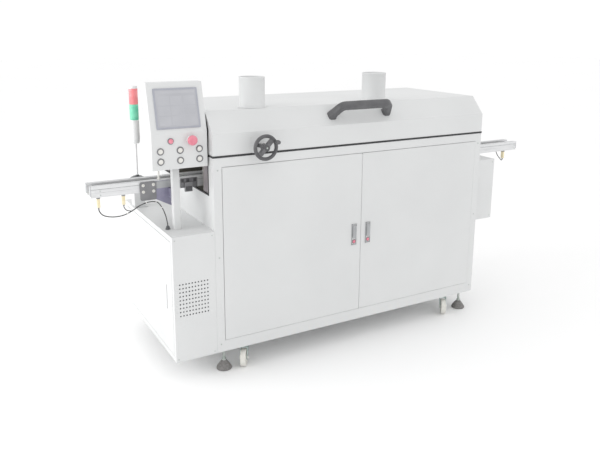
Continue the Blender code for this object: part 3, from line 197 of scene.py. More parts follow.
def end_graded():
    """Brushed stainless whose colour turns straw and then dark purple-brown away from the oven's open ends.
    """
    made = surface("end_graded_stainless", (0.50, 0.49, 0.46), (0.62, 0.61, 0.58), 0.34, metallic=0.9,
                   cloud=5, grain=30, stretch=(1, 40, 40), relief=0.00003)
    nodes = made.node_tree.nodes
    links = made.node_tree.links
    split = nodes.new("ShaderNodeSeparateXYZ")
    links.new(nodes["Texture Coordinate"].outputs["Object"], split.inputs["Vector"])
    reach = nodes.new("ShaderNodeMath")
    reach.operation = "ABSOLUTE"
    links.new(split.outputs["X"], reach.inputs[0])
    # Darker and more purple-brown the further a point lies from the open ends.
    depth = ranged(made, reach.outputs["Value"], From_Min=0.56, From_Max=0.48)
    tint = ramped(made, depth, ((0, (1, 1, 1)), (1, (0.34, 0.29, 0.30)), (0.45, (0.80, 0.68, 0.50))))
    mix = recolour(made)
    mix.blend_type = "MULTIPLY"
    mix.inputs[0].default_value = 1.0
    links.new(tint, mix.inputs[7])
    return made


POWDER = surface("powder_coat", (0.665, 0.673, 0.674), (0.697, 0.705, 0.705), 0.42, cloud=2.2, grain=900,
                 relief=0.00006)
STAINLESS = end_graded()
ALUMINIUM = surface("anodised_aluminium", (0.70, 0.705, 0.715), (0.78, 0.785, 0.79), 0.36, metallic=0.35,
                    cloud=8, grain=40, stretch=(1, 50, 50), relief=0.00002)
BLACK_STEEL = worn(surface("blackened_steel", (0.045, 0.045, 0.05), (0.085, 0.085, 0.09), 0.45,
                           metallic=0.7, cloud=40), (0.22, 0.22, 0.23))
GREY_PLATE = worn(surface("grey_plate", (0.17, 0.17, 0.18), (0.22, 0.22, 0.23), 0.42, metallic=0.4,
                          cloud=30), (0.42, 0.42, 0.43))
VIOLET_PLATE = surface("violet_plate", (0.27, 0.26, 0.36), (0.36, 0.35, 0.45), 0.45, metallic=0.4, cloud=20)
ZINC = surface("zinc_plate", (0.44, 0.49, 0.46), (0.60, 0.63, 0.61), 0.36, metallic=0.85, cloud=60, grain=300)
CHARCOAL = worn(surface("charcoal_plastic", (0.075, 0.08, 0.085), (0.105, 0.11, 0.115), 0.38, cloud=25,
                        grain=1500, relief=0.00008), (0.24, 0.24, 0.25))
RUBBER = surface("rubber", (0.035, 0.035, 0.037), (0.065, 0.065, 0.067), 0.72, cloud=50, grain=1200,
                 relief=0.0001)
# Black seal rubber; the bands made of it also paint the shade of the lid gap and of the mouths' rims.
SEAL_AND_GAP_SHADE = surface("seal_rubber_and_gap_shade", (0.02, 0.02, 0.022), (0.04, 0.04, 0.042), 0.6, cloud=60, grain=900)
NYLON = surface("wheel_nylon", (0.68, 0.67, 0.62), (0.76, 0.755, 0.71), 0.4, cloud=30, grain=500)
RED = surface("red_plastic", (0.72, 0.20, 0.27), (0.80, 0.26, 0.33), 0.3, cloud=40, grain=900, coat=0.4)
RED_LENS = surface("red_lens", (0.80, 0.20, 0.22), (0.86, 0.27, 0.28), 0.22, cloud=30, coat=0.5, glow=0.12)
GREEN_LENS = surface("green_lens", (0.13, 0.56, 0.37), (0.20, 0.66, 0.45), 0.22, cloud=30, coat=0.5,
                     glow=0.10)
WHITE_PLASTIC = surface("white_plastic", (0.76, 0.765, 0.765), (0.82, 0.825, 0.825), 0.35, cloud=30,
                        grain=900)
IVORY = surface("ivory_plastic", (0.74, 0.73, 0.69), (0.80, 0.79, 0.76), 0.35, cloud=40, grain=900)
BEZEL = surface("bezel_grey", (0.36, 0.37, 0.42), (0.40, 0.41, 0.46), 0.45, cloud=20, grain=1200)
DISPLAY = surface("display_glass", (0.41, 0.415, 0.445), (0.45, 0.455, 0.485), 0.16, cloud=9, grain=60,
                  relief=0.000002, coat=0.6, glow=0.03)
PANEL = surface("display_panel", (0.42, 0.425, 0.455), (0.46, 0.465, 0.495), 0.2, cloud=12, coat=0.6,
                glow=0.03)
CHAIN_STEEL = surface("chain_steel", (0.36, 0.355, 0.35), (0.48, 0.475, 0.46), 0.35, metallic=0.8, cloud=90)
CREAM = surface("insulation_board", (0.66, 0.65, 0.60), (0.74, 0.73, 0.68), 0.6, cloud=18)
SENSOR = surface("sensor_amber", (0.82, 0.72, 0.46), (0.88, 0.79, 0.56), 0.35, cloud=60)
CABLE = surface("cable_sheath", (0.03, 0.03, 0.032), (0.06, 0.06, 0.062), 0.5, cloud=80, grain=1500)
HEATER = surface("heater_tube", (0.13, 0.115, 0.10), (0.24, 0.20, 0.17), 0.45, metallic=0.8, cloud=12)
# Dark purple-brown for the mouth linings: painted shade inside the oven's mouths.
MOUTH_SHADE_LINING = surface("mouth_lining_painted_shade", (0.25, 0.225, 0.24), (0.33, 0.30, 0.31), 0.5, metallic=0.2, cloud=18)
RING = surface("button_ring", (0.20, 0.20, 0.21), (0.27, 0.27, 0.28), 0.35, metallic=0.6, cloud=60)
LOCK_GREY = surface("lock_grey", (0.36, 0.37, 0.38), (0.43, 0.44, 0.45), 0.4, metallic=0.3, cloud=40)
FORK = surface("plated_fork", (0.42, 0.52, 0.49), (0.56, 0.65, 0.62), 0.35, metallic=0.6, cloud=60, grain=300)
WHEEL = worn(surface("wheel_plastic", (0.065, 0.065, 0.07), (0.095, 0.095, 0.10), 0.4, cloud=30, grain=1500,
                     relief=0.00008), (0.28, 0.28, 0.29))
HANDLE = surface("handle_plastic", (0.085, 0.085, 0.09), (0.12, 0.12, 0.125), 0.33, cloud=20, grain=1500,
                 relief=0.00008)
FOOT_RUBBER = surface("foot_rubber", (0.17, 0.165, 0.16), (0.25, 0.24, 0.235), 0.75, cloud=120, grain=900,
                      relief=0.0002)
HOUSING_BLUE = surface("module_blue", (0.10, 0.16, 0.24), (0.13, 0.20, 0.29), 0.4, cloud=20)
HOUSING_GREY = surface("module_grey", (0.42, 0.43, 0.44), (0.50, 0.51, 0.52), 0.45, cloud=20)

SLOT_FINISH = {
    "powder_white": POWDER, "stainless": STAINLESS, "heater_metal": HEATER, "aluminium": ALUMINIUM,
    "dark_steel": BLACK_STEEL, "zinc": ZINC, "charcoal_plastic": CHARCOAL, "rubber": RUBBER,
    "wheel_nylon": NYLON, "red_plastic": RED, "lens_red": RED_LENS, "lens_green": GREEN_LENS,
    "lamp_white": WHITE_PLASTIC, "screen_grey": BEZEL, "cap_white": IVORY, "cable_black": CABLE,
}


# ---------------------------------------------------------------- shapes
def block(shape, low, high):
    """A closed box between two corners, measured from the cabinet's corner."""
    low, high = at(*low), at(*high)
    made = bmesh.ops.create_cube(shape, size=1.0)
    bmesh.ops.scale(shape, vec=high - low, verts=made["verts"])
    bmesh.ops.translate(shape, vec=(low + high) / 2, verts=made["verts"])
    return made["verts"]


def revolve(shape, profile, centre, axis=Z_AXIS, steps=ROUND, closed=False, wave=None):
    """A turned solid from (radius, height) along the axis. A wave varies the radius by angle."""
    centre = at(*centre)
    turn = Z_AXIS.rotation_difference(Vector(axis).normalized()).to_matrix()
    rings = []
    for radius, height in profile:
        ring = []
        for step in range(steps if radius > 0 else 1):
            angle = math.tau * step / steps
            reach = radius + (wave(angle) if wave and radius > 0 else 0)
            point = Vector((reach * math.cos(angle), reach * math.sin(angle), height))
            ring.append(shape.verts.new(centre + turn @ point))
        rings.append(ring)
    joined = list(zip(rings, rings[1:]))
    if closed:
        joined.append((rings[-1], rings[0]))
    for low, high in joined:
        for step in range(steps):
            after = (step + 1) % steps
            corners = [low[step % len(low)], low[after % len(low)],
                       high[after % len(high)], high[step % len(high)]]
            corners = list(dict.fromkeys(corners))
            if len(corners) > 2:
                shape.faces.new(corners)


def prism(shape, outline, axis, start, end):
    """An outline pushed along X (outline in y, z), Y (in x, z) or Z (in x, y)."""
    spread = {
        "X": lambda a, b, depth: (depth, a, b),
        "Y": lambda a, b, depth: (a, depth, b),
        "Z": lambda a, b, depth: (a, b, depth),
    }[axis]
    near = [shape.verts.new(at(*spread(a, b, start))) for a, b in outline]
    far = [shape.verts.new(at(*spread(a, b, end))) for a, b in outline]
    shape.faces.new(near)
    shape.faces.new(reversed(far))
    for index in range(len(outline)):
        after = (index + 1) % len(outline)
        shape.faces.new([near[index], near[after], far[after], far[index]])


def rounded(low_a, high_a, low_b, high_b, radius, steps=5):
    """A rectangle's outline with round corners."""
    outline = []
    for a, b, first in ((high_a - radius, high_b - radius, 0), (low_a + radius, high_b - radius, 90),
                        (low_a + radius, low_b + radius, 180), (high_a - radius, low_b + radius, 270)):
        for step in range(steps + 1):
            angle = math.radians(first + 90 * step / steps)
            outline.append((a + radius * math.cos(angle), b + radius * math.sin(angle)))
    return outline


def ribbon(path, half):
    """The outline of a flat band along a polyline, mitred at its corners."""
    sides = ([], [])
    for index, point in enumerate(path):
        point = Vector(point)
        back = (point - Vector(path[index - 1])).normalized() if index else None
        ahead = (Vector(path[index + 1]) - point).normalized() if index < len(path) - 1 else None
        along = (back or ahead) + (ahead or back)
        normal = Vector((-along.y, along.x)).normalized()
        straight = ahead or back
        reach = half / max(0.3, normal.dot(Vector((-straight.y, straight.x))))
        sides[0].append(tuple(point + normal * reach))
        sides[1].append(tuple(point - normal * reach))
    return sides[0] + sides[1][::-1]


def loft(shape, rings):
    """A closed bar through rings of points, each ring with the same count."""
    made = [[shape.verts.new(at(*point)) for point in ring] for ring in rings]
    for low, high in zip(made, made[1:]):
        for index in range(len(low)):
            after = (index + 1) % len(low)
            shape.faces.new([low[index], low[after], high[after], high[index]])
    shape.faces.new(reversed(made[0]))
    shape.faces.new(made[-1])


def smooth_route(route, steps=6):
    """Points on the smooth curve through every point of a route."""
    ends = [Vector(point) for point in (route[0], *route, route[-1])]
    path = []
    for before, start, end, after in zip(ends, ends[1:], ends[2:], ends[3:]):
        for step in range(steps):
            t = step / steps
            path.append(0.5 * (
                2 * start + (end - before) * t
                + (2 * before - 5 * start + 4 * end - after) * t ** 2
                + (3 * start - before - 3 * end + after) * t ** 3
            ))
    path.append(ends[-1])
    return path


def hose(shape, path, radius, steps=12):
    """A round cord along a path, turned from ring to ring without twist."""
    side = None
    rings = []
    for index, point in enumerate(path):
        along = (path[min(index + 1, len(path) - 1)] - path[max(index - 1, 0)]).normalized()
        if side is None:
            side = along.orthogonal().normalized()
        side = (side - along * side.dot(along)).normalized()
        other = along.cross(side)
        rings.append([
            point + side * radius * math.cos(turn) + other * radius * math.sin(turn)
            for turn in (math.tau * step / steps for step in range(steps))
        ])
    loft(shape, rings)


def screw_head(shape, centre, axis, radius=0.004, height=0.0022):
    """A button head with a hexagon recess."""
    socket = radius * 0.45
    profile = [(0, 0), (radius, 0), (radius, height * 0.45), (radius * 0.72, height * 0.9),
               (socket, height), (socket, height * 0.4), (0, height * 0.4)]
    revolve(shape, profile, centre, axis, 24)


def disc(shape, centre, radius, low, high, axis=Z_AXIS, steps=ROUND, wave=None):
    """A plain cylinder between two heights along the axis."""
    revolve(shape, [(0, low), (radius, low), (radius, high), (0, high)], centre, axis, steps, wave=wave)


def hexagon(shape, centre, radius, height, axis=Z_AXIS):
    disc(shape, centre, radius, 0, height, axis, 6)


def piece(name, shape, body, finish, slot, bevel=0.0, replaces=(), sharp=38):
    """Turn a shape into a piece of the oven that rides on a body."""
    bmesh.ops.recalc_face_normals(shape, faces=shape.faces)
    mesh = bpy.data.meshes.new(name)
    shape.to_mesh(mesh)
    shape.free()
    obj = bpy.data.objects.new(name, mesh)
    bpy.context.scene.collection.objects.link(obj)
    mesh.materials.append(finish)
    mesh.shade_smooth()
    if bevel:
        edge = obj.modifiers.new("edges", "BEVEL")
        edge.width = bevel
        edge.segments = 2
        edge.limit_method = "ANGLE"
        edge.angle_limit = math.radians(sharp)
        edge.harden_normals = True
    else:
        mesh.set_sharp_from_angle(angle=math.radians(sharp))
    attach(obj, body)
    if replaces:
        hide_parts(*replaces)
    return obj


# ---------------------------------------------------------------- the frame's own nodes
def dress_frame():
    """Give every CAD node its finish, and rounded folds to the ones made of sheet."""
    slots = {row["node"]: row["material_slot"] for row in frame["record"]["subparts"]}
    for name, obj in frame["nodes"].items():
        obj.data.materials.clear()
        obj.data.materials.append(SLOT_FINISH[slots[name]])
        if slots[name] in ("powder_white", "aluminium", "zinc", "dark_steel", "charcoal_plastic"):
            weld = obj.modifiers.new("weld", "WELD")
            weld.merge_threshold = 1e-5
            edge = obj.modifiers.new("edges", "BEVEL")
            edge.width = 0.0007
            edge.segments = 2
            edge.limit_method = "ANGLE"
            edge.angle_limit = math.radians(38)


# ---------------------------------------------------------------- seals with painted shade of the lid gap, and mouths
def seals():
    """Black bands along the lid line and round both board mouths: rubber seals whose black also paints the
    shade of the lid gap and of the mouths' rims.
    """
    lip = 0.0015
    band = 0.003
    gap = 0.0001
    proud = 0.0014
    ends = ((-lip, SHEET + lip), (LENGTH - SHEET - lip, LENGTH + lip))
    shape = bmesh.new()
    seam_low, seam_high = WALL_TOP - 0.003, LID_BOTTOM + 0.0015
    # Black band over the lid gap and the sheet edges beside it: painted shade of the gap.
    block(shape, (-proud, -proud, seam_low), (LENGTH + proud, -gap, seam_high))
    for x in (-proud, LENGTH + gap):
        block(shape, (x, -0.0005, seam_low), (x + proud - gap, MOUTH_FRONT - SHEET, seam_high))
        block(shape, (x, MOUTH_BACK + SHEET, seam_low), (x + proud - gap, DEPTH, seam_high))
    # Black band round each mouth's rim: rubber edging and painted shade of the rim.
    edge = [(MOUTH_FRONT, WALL_TOP), (MOUTH_FRONT, MOUTH_BOTTOM),
            (MOUTH_BACK, MOUTH_BOTTOM), (MOUTH_BACK, WALL_TOP)]
    for start, end in ends:
        prism(shape, ribbon(edge, band), "X", start, end)
    block(shape, (LENGTH + lip, MOUTH_FRONT, 0.842), (LENGTH + 0.004, MOUTH_FRONT + 0.010, 0.886))
    piece("body_seal_and_gap_shade", shape, "cabinet", SEAL_AND_GAP_SHADE, "rubber", bevel=0.0005)

    shoulder = LID_BOTTOM + 0.100
    top = LID_BOTTOM + 0.163
    # Black band along the lid's end profile: rubber edging and painted shade of the end's rim.
    edge = [(MOUTH_FRONT, LID_BOTTOM + 0.0005), (MOUTH_FRONT - 0.010, shoulder), (0.078, top),
            (DEPTH - 0.078, top), (MOUTH_BACK + 0.010, shoulder), (MOUTH_BACK, LID_BOTTOM + 0.0005)]
    shape = bmesh.new()
    for start, end in ends:
        prism(shape, ribbon(edge, band), "X", start, end)
    piece("lid_seal_and_gap_shade", shape, "lid", SEAL_AND_GAP_SHADE, "rubber", bevel=0.0005)


def linings():
    """Plates that close the space between the front wall and the trough at both mouths: dark linings whose
    colour paints the shade inside the mouths, and cream insulation baffles.
    """
    thick = 0.0025
    top = WALL_TOP - 0.006
    bottom = MOUTH_BOTTOM + 0.0035
    sides = ((MOUTH_FRONT + 0.003, 0.118), (0.562, MOUTH_BACK - 0.003))
    for name, inset, spans, low, finish, slot in (
        # Dark linings: painted shade inside the mouths.
        ("mouth_linings", 0.004, sides, bottom, MOUTH_SHADE_LINING, "dark_steel"),
        ("mouth_baffles", 0.016, ((0.124, 0.158),), RAIL_TOP + 0.0045, CREAM, "stainless"),
    ):
        shape = bmesh.new()
        for x in (inset, LENGTH - inset - thick):
            for front, back in spans:
                block(shape, (x, front, low), (x + thick, back, top))
        piece(name, shape, "cabinet", finish, slot, bevel=0.0003)


# ---------------------------------------------------------------- conveyor
def rails():
    """T-slot lips, face plates and end caps that make extrusions of the two rails; grey strips paint the
    shade inside the T-slots, and the caps' grey paints the shade at the rail ends.
    """
    rear_face = REAR_RAIL_HIGH.y - CORNER.y
    rear_inner = REAR_RAIL_LOW.y - CORNER.y
    rail_details("front_rail", "cabinet", RAIL_FACE, RAIL_BACK, -1)
    rail_details("rear_rail", "rear_rail", rear_face, rear_inner, 1)


def rail_details(name, body, face, inner, outward):
    """The face is the rail's outer side, inner its chain side, outward the sign of Y away from the chain."""
    start = -RAIL_REACH
    end = LENGTH + RAIL_REACH
    lip = 0.0009
    flange = face + outward * 0.0016
    slot_edges = (face - outward * 0.0070, face - outward * 0.0135)

    def bar(shape, x_low, x_high, y_a, y_b, z_low, z_high):
        block(shape, (x_low, min(y_a, y_b), z_low), (x_high, max(y_a, y_b), z_high))

    shape = bmesh.new()
    bar(shape, start, end, flange, slot_edges[0], RAIL_TOP, RAIL_TOP + lip)
    bar(shape, start, end, slot_edges[1], inner, RAIL_TOP, RAIL_TOP + lip)
    bar(shape, start, end, flange, face, RAIL_TOP - 0.0115, RAIL_TOP)
    plate = face + outward * 0.0012
    for x_low, x_high in ((start + 0.018, SHAFT_X - 0.010), (SHAFT_X + 0.010, end - 0.004)):
        bar(shape, x_low, x_high, plate, face, RAIL_TOP - 0.0250, RAIL_TOP - 0.0135)
        bar(shape, x_low, x_high, plate, face, RAIL_BOTTOM + 0.0006, RAIL_TOP - 0.0262)
    piece(name + "_lips", shape, body, ALUMINIUM, "aluminium", bevel=0.0003)

    # Grey strips over the T-slot openings: painted shade inside the slots.
    shape = bmesh.new()
    bar(shape, start, end, slot_edges[0], slot_edges[1], RAIL_TOP, RAIL_TOP + 0.0002)
    bar(shape, start, end, face + outward * 0.0002, face, RAIL_TOP - 0.0135, RAIL_TOP - 0.009)
    piece(name + "_slots", shape, body, LOCK_GREY, "dark_steel")

    # Grey end caps: their grey paints the shade at the rails' recessed ends.
    shape = bmesh.new()
    for x_low, x_high in ((start - 0.0022, start - 0.0001), (end + 0.0001, end + 0.0022)):
        bar(shape, x_low, x_high, face + outward * 0.001, inner, RAIL_BOTTOM + 0.006, RAIL_TOP)
    piece(name + "_caps", shape, body, HOUSING_GREY, "dark_steel", bevel=0.0006)

    shape = bmesh.new()
    for x in (start + 0.036, end - 0.012):
        for z in (RAIL_BOTTOM + 0.009, RAIL_TOP - 0.019):
            screw_head(shape, (x, plate, z), (0, outward, 0), 0.0026, 0.0014)
    piece(name + "_screws", shape, body, ZINC, "zinc", sharp=30)
    if outward < 0:
        stud = (-0.165, (face + inner) / 2, RAIL_TOP + lip)
        shape = bmesh.new()
        hexagon(shape, stud, 0.0072, 0.005)
        revolve(shape, [(0, 0), (0.0042, 0), (0.0042, 0.033), (0.0034, 0.034), (0, 0.034)], stud, steps=20)
        piece("rail_stud", shape, body, IVORY, "zinc", sharp=30)


def chains():
    """Link plates and board pins along both runs of each edge chain."""
    pitch = 0.0127
    count = int((LENGTH + 2 * RAIL_REACH - 0.06) / pitch)
    begin = -RAIL_REACH + 0.03
    run_rise = 0.0135
    for name, body, inner_face, inward in (
        ("front_chain", "cabinet", RAIL_BACK + 0.0063, 1),
        ("rear_chain", "rear_rail", REAR_RAIL_LOW.y - CORNER.y - 0.0063, -1),
    ):
        shape = bmesh.new()
        for z in (CHAIN_Z + run_rise, CHAIN_Z - run_rise):
            for index in range(count):
                x = begin + index * pitch
                disc(shape, (x, inner_face, z), 0.0011, 0, 0.0032, (0, inward, 0), 8)
                rim = rounded(x + 0.0006, x + pitch - 0.0006, z - 0.0022, z + 0.0022, 0.0021, 2)
                depth = 0.0006 if index % 2 else 0.0011
                prism(shape, rim, "Y", inner_face, inner_face + inward * depth)
        piece(name + "_links", shape, body, CHAIN_STEEL, "dark_steel", sharp=30)


def sensors():
    """Amber board sensors under the fixed rail, each with a dark boot where its lead leaves."""
    shells = bmesh.new()
    boots = bmesh.new()
    for x in SENSOR_XS:
        block(shells, (x - 0.0058, RAIL_FACE + 0.0027, RAIL_BOTTOM - 0.0422),
              (x + 0.0058, RAIL_FACE + 0.0173, RAIL_BOTTOM - 0.0004))
        block(boots, (x - 0.0062, RAIL_FACE + 0.0022, RAIL_BOTTOM - 0.0060),
              (x + 0.0062, RAIL_FACE + 0.0178, RAIL_BOTTOM - 0.0002))
        revolve(boots, [(0, 0), (0.0030, 0), (0.0038, 0.004), (0.0038, 0.0055), (0, 0.0055)],
                (x, RAIL_FACE + 0.010, RAIL_BOTTOM - 0.0475), steps=20)
    piece("sensor_shells", shells, "cabinet", SENSOR, "cap_white", bevel=0.0012)
    piece("sensor_boots", boots, "cabinet", GREY_PLATE, "dark_steel", bevel=0.0006)


def leads():
    """Sensor leads: the long one to the gland, the short one that joins it, the one at the outfeed end."""
    near, inner, outfeed = SENSOR_XS
    y = RAIL_FACE + 0.010
    start_z = RAIL_BOTTOM - 0.0475
    thick, thin = 0.0021, 0.0018
    gland = (near + 0.257, y - 0.063)
    route = [
        (near, y, start_z), (near + 0.003, y - 0.001, 0.7265), (near + 0.017, y - 0.006, 0.711),
        (near + 0.050, y - 0.014, 0.703), (near + 0.090, y - 0.020, 0.706), (near + 0.124, y - 0.024, 0.720),
        (near + 0.157, y - 0.028, 0.740), (near + 0.194, y - 0.032, 0.751), (near + 0.224, y - 0.040, 0.748),
        (near + 0.240, y - 0.050, 0.726), (near + 0.250, y - 0.058, 0.697), (near + 0.256, y - 0.062, 0.664),
        (*gland, BOX_TOP + 0.012),
    ]
    main = smooth_route(route)
    shape = bmesh.new()
    for mark in (27, 40, 47, 54):
        along = main[mark + 1] - main[mark]
        revolve(shape, [(thin, -thin), (0.0031, -thin), (0.0031, thin), (thin, thin)],
                main[mark], along, 16, closed=True)
    ties = piece("cable_ties", shape, "cabinet", IVORY, "cap_white", sharp=30)
    lay_lead("long_lead", main, thick, ("sensor_lead",))

    joint = main[30]
    branch = smooth_route([
        (inner, y, start_z), (inner + 0.001, y - 0.003, 0.732), (inner + 0.008, y - 0.012, 0.7225), joint,
    ])
    lay_lead("short_lead", branch[::-1], thin)

    outfeed_route = smooth_route([
        (outfeed, y, start_z), (outfeed - 0.004, y, 0.7335), (outfeed - 0.019, y, 0.744),
        (outfeed - 0.040, y, 0.766), (outfeed - 0.052, y, RAIL_BOTTOM - 0.0005),
    ])
    lay_lead("outfeed_lead", outfeed_route, thick)

    shape = bmesh.new()
    place = (*gland, BOX_TOP)
    washer = 0.002
    disc(shape, place, 0.011, 0, washer, steps=32)
    hexagon(shape, (*gland, BOX_TOP + washer), 0.0095, 0.005)
    revolve(shape, [(0, 0.007), (0.0078, 0.007), (0.0074, 0.011), (0.0045, 0.015), (0.0026, 0.0155),
                    (0, 0.0155)], place, steps=32)
    piece("lead_gland", shape, "cabinet", CHARCOAL, "charcoal_plastic", bevel=0.0004, sharp=30)


def lay_lead(name, path, radius, replaces=()):
    shape = bmesh.new()
    hose(shape, path, radius)
    lead = piece(name, shape, "cabinet", CABLE, "cable_black", replaces=replaces)


def bracket():
    """Bolted plate and gusset that tie the fixed rail to the pod's post."""
    low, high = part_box("rail_bracket")
    left = low.x - CORNER.x
    right = high.x - CORNER.x
    face = RAIL_FACE - 0.0003
    plate_right = left + 0.068
    shape = bmesh.new()
    prism(shape, rounded(left + 0.001, plate_right, RAIL_BOTTOM - 0.0325, RAIL_TOP - 0.001, 0.008), "Y",
          face - 0.0085, face - 0.0015)
    piece("bracket_plate", shape, "cabinet", GREY_PLATE, "dark_steel", bevel=0.0008)

    shape = bmesh.new()
    gusset = [(left + 0.010, RAIL_TOP - 0.003), (left + 0.010, RAIL_BOTTOM - 0.031),
              (left + 0.066, RAIL_BOTTOM - 0.033), (right, RAIL_BOTTOM - 0.074), (right, RAIL_TOP - 0.003)]
    prism(shape, gusset, "Y", face - 0.004, face)
    block(shape, (right - 0.026, high.y - CORNER.y - 0.035, RAIL_BOTTOM - 0.028),
          (right - 0.002, face - 0.002, RAIL_BOTTOM + 0.010))
    piece("bracket_gusset", shape, "cabinet", VIOLET_PLATE, "dark_steel", bevel=0.0006,
          replaces=("rail_bracket",))

    shape = bmesh.new()
    cover = rounded(plate_right + 0.001, right - 0.001, RAIL_BOTTOM + 0.012, RAIL_TOP - 0.004, 0.002)
    prism(shape, cover, "Y", face - 0.0062, face - 0.0042)
    piece("bracket_cover", shape, "cabinet", HOUSING_GREY, "dark_steel", bevel=0.0005)

    shape = bmesh.new()
    for x in (left + 0.014, plate_right - 0.012):
        for z in (RAIL_TOP - 0.041, RAIL_TOP - 0.014):
            screw_head(shape, (x, face - 0.0085, z), OUT, 0.0064, 0.0034)
    screw_head(shape, (right - 0.012, face - 0.004, RAIL_BOTTOM - 0.052), OUT, 0.0035, 0.002)
    piece("bracket_bolts", shape, "cabinet", IVORY, "zinc", sharp=30)


def drive_bearing():
    """Black bearing block round the drive shaft on the fixed rail's face."""
    near, far = RAIL_FACE - 0.0062, RAIL_FACE - 0.0013
    low, high = CHAIN_Z - 0.016, CHAIN_Z + 0.013
    gap = 0.0075
    shape = bmesh.new()
    for left, right, bottom, top in (
        (-0.045, -gap, low, high), (gap, 0.046, low, high), (-gap, gap, CHAIN_Z + gap, high),
        (-gap, gap, low, CHAIN_Z - gap),
    ):
        block(shape, (SHAFT_X + left, near, bottom), (SHAFT_X + right, far, top))
    piece("bearing_block", shape, "cabinet", BLACK_STEEL, "dark_steel", bevel=0.0005)
    shape = bmesh.new()
    revolve(shape, [(0.0058, 0), (0.0098, 0), (0.0098, 0.0056), (0.0058, 0.0056)],
            (SHAFT_X, far, CHAIN_Z), OUT, 32, closed=True)
    for x in (SHAFT_X - 0.036, SHAFT_X + 0.036):
        screw_head(shape, (x, near, CHAIN_Z), OUT, 0.0035, 0.002)
    piece("bearing_ring", shape, "cabinet", ZINC, "zinc", sharp=30)


# ---------------------------------------------------------------- control pod
def screen():
    """Bezel, glass and blank panels of the display on the pod's sloping face."""
    centre = middle("touchscreen")
    rise, run = 0.193, 0.047
    tilt = math.atan2(run, rise)
    up = (0, math.sin(tilt), math.cos(tilt))
    outward = (0, -math.cos(tilt), math.sin(tilt))
    turn = Matrix((X_AXIS, up, outward)).transposed()
    face = Matrix.Translation(centre) @ turn.to_4x4() @ Matrix.Translation(-CORNER)

    def plate(name, outlines, low, high, finish, replaces=()):
        shape = bmesh.new()
        for outline in outlines:
            prism(shape, outline, "Z", low, high)
        bmesh.ops.transform(shape, matrix=face, verts=shape.verts)
        return piece(name, shape, "cabinet", finish, "screen_grey", bevel=0.0003, replaces=replaces)

    half_width, half_height, border = 0.0885, 0.0785, 0.007
    bezel_face, glass_face = 0.0018, 0.0022
    bezel = rounded(-half_width, half_width, -half_height, half_height, 0.003)
    plate("screen_bezel", [bezel], -0.002, bezel_face, BEZEL, ("touchscreen",))
    inner_width, inner_height = half_width - border, half_height - border
    glass = rounded(-inner_width, inner_width, -inner_height, inner_height, 0.001)
    plate("screen_glass", [glass], bezel_face, glass_face, DISPLAY)
    margin = 0.004
    cells = [rounded(-inner_width + margin, inner_width - margin, inner_height - 0.014, inner_height - margin,
                     0.001)]
    columns, rows = 3, 3
    width = (2 * inner_width - 0.020) / columns
    height = (2 * inner_height - 0.038) / rows
    for column in range(columns):
        for row in range(rows):
            left = -inner_width + 0.006 + column * (width + margin)
            bottom = -inner_height + 0.006 + row * (height + margin)
            cells.append(rounded(left, left + width, bottom, bottom + height, 0.002))
    plate("screen_panels", cells, glass_face, 0.00235, PANEL)


def buttons():
    """Caps, rings and domes on the pod's flat face."""
    lift = 0.0001
    rings = bmesh.new()
    for number in range(1, 7):
        place = middle(f"push_button_{number}") - CORNER
        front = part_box(f"push_button_{number}")[0].y - CORNER.y
        revolve(rings, [(0.0101, lift), (0.0143, lift), (0.0143, 0.0016), (0.0128, 0.0032), (0.0108, 0.0032),
                        (0.0101, 0.0022)], (place.x, POD_FACE, place.z), OUT, 40, closed=True)
        shape = bmesh.new()
        cap = [(0, 0.0002), (0.0045, 0.0002), (0.0062, 0.0007), (0.0080, 0.0006), (0.0092, 0),
               (0.0095, -0.0008), (0.0095, -0.021), (0, -0.021)]
        revolve(shape, cap, (place.x, front + 0.0006, place.z), OUT, 40)
        piece(f"button_cap_{number}", shape, f"push_button_{number}", IVORY, "cap_white",
              replaces=(f"push_button_{number}",), sharp=50)

    lamp = middle("pilot_lamp") - CORNER
    dome_radius = 0.0098
    revolve(rings, [(0.0, lift), (0.0125, lift), (0.0125, 0.0020), (0.0112, 0.0035), (dome_radius, 0.0035),
                    (0, 0.0030)], (lamp.x, POD_FACE, lamp.z), OUT, 40)
    piece("button_rings", rings, "cabinet", RING, "dark_steel", sharp=30)
    shape = bmesh.new()
    steps = 8
    turns = [math.pi / 2 * step / steps for step in range(steps)]
    dome = [(dome_radius * math.cos(turn), 0.003 + 0.0095 * math.sin(turn)) for turn in turns]
    revolve(shape, [(0, 0.0026), (dome_radius, 0.0026), *dome, (0, 0.0125)], (lamp.x, POD_FACE, lamp.z),
            OUT, 40)
    piece("lamp_dome", shape, "cabinet", RED, "red_plastic", replaces=("pilot_lamp",))

    stop = middle("emergency_stop") - CORNER
    shape = bmesh.new()
    revolve(shape, [(0.0095, lift), (0.0170, lift), (0.0170, 0.0030), (0.0155, 0.0060), (0.0095, 0.0060)],
            (stop.x, POD_FACE, stop.z), OUT, 48, closed=True)
    piece("stop_collar", shape, "cabinet", WHITE_PLASTIC, "cap_white", sharp=30)
    shape = bmesh.new()
    revolve(shape, [(0, 0.0300), (0.0095, 0.0296), (0.0103, 0.0288), (0.0118, 0.0288), (0.0126, 0.0290),
                    (0.0165, 0.0272), (0.0190, 0.0245), (0.0200, 0.0215), (0.0198, 0.0165), (0.0185, 0.0150),
                    (0.0085, 0.0135), (0.0085, -0.024), (0, -0.024)], (stop.x, POD_FACE, stop.z), OUT, 48)
    piece("stop_mushroom", shape, "emergency_stop", RED, "red_plastic", replaces=("emergency_stop",))


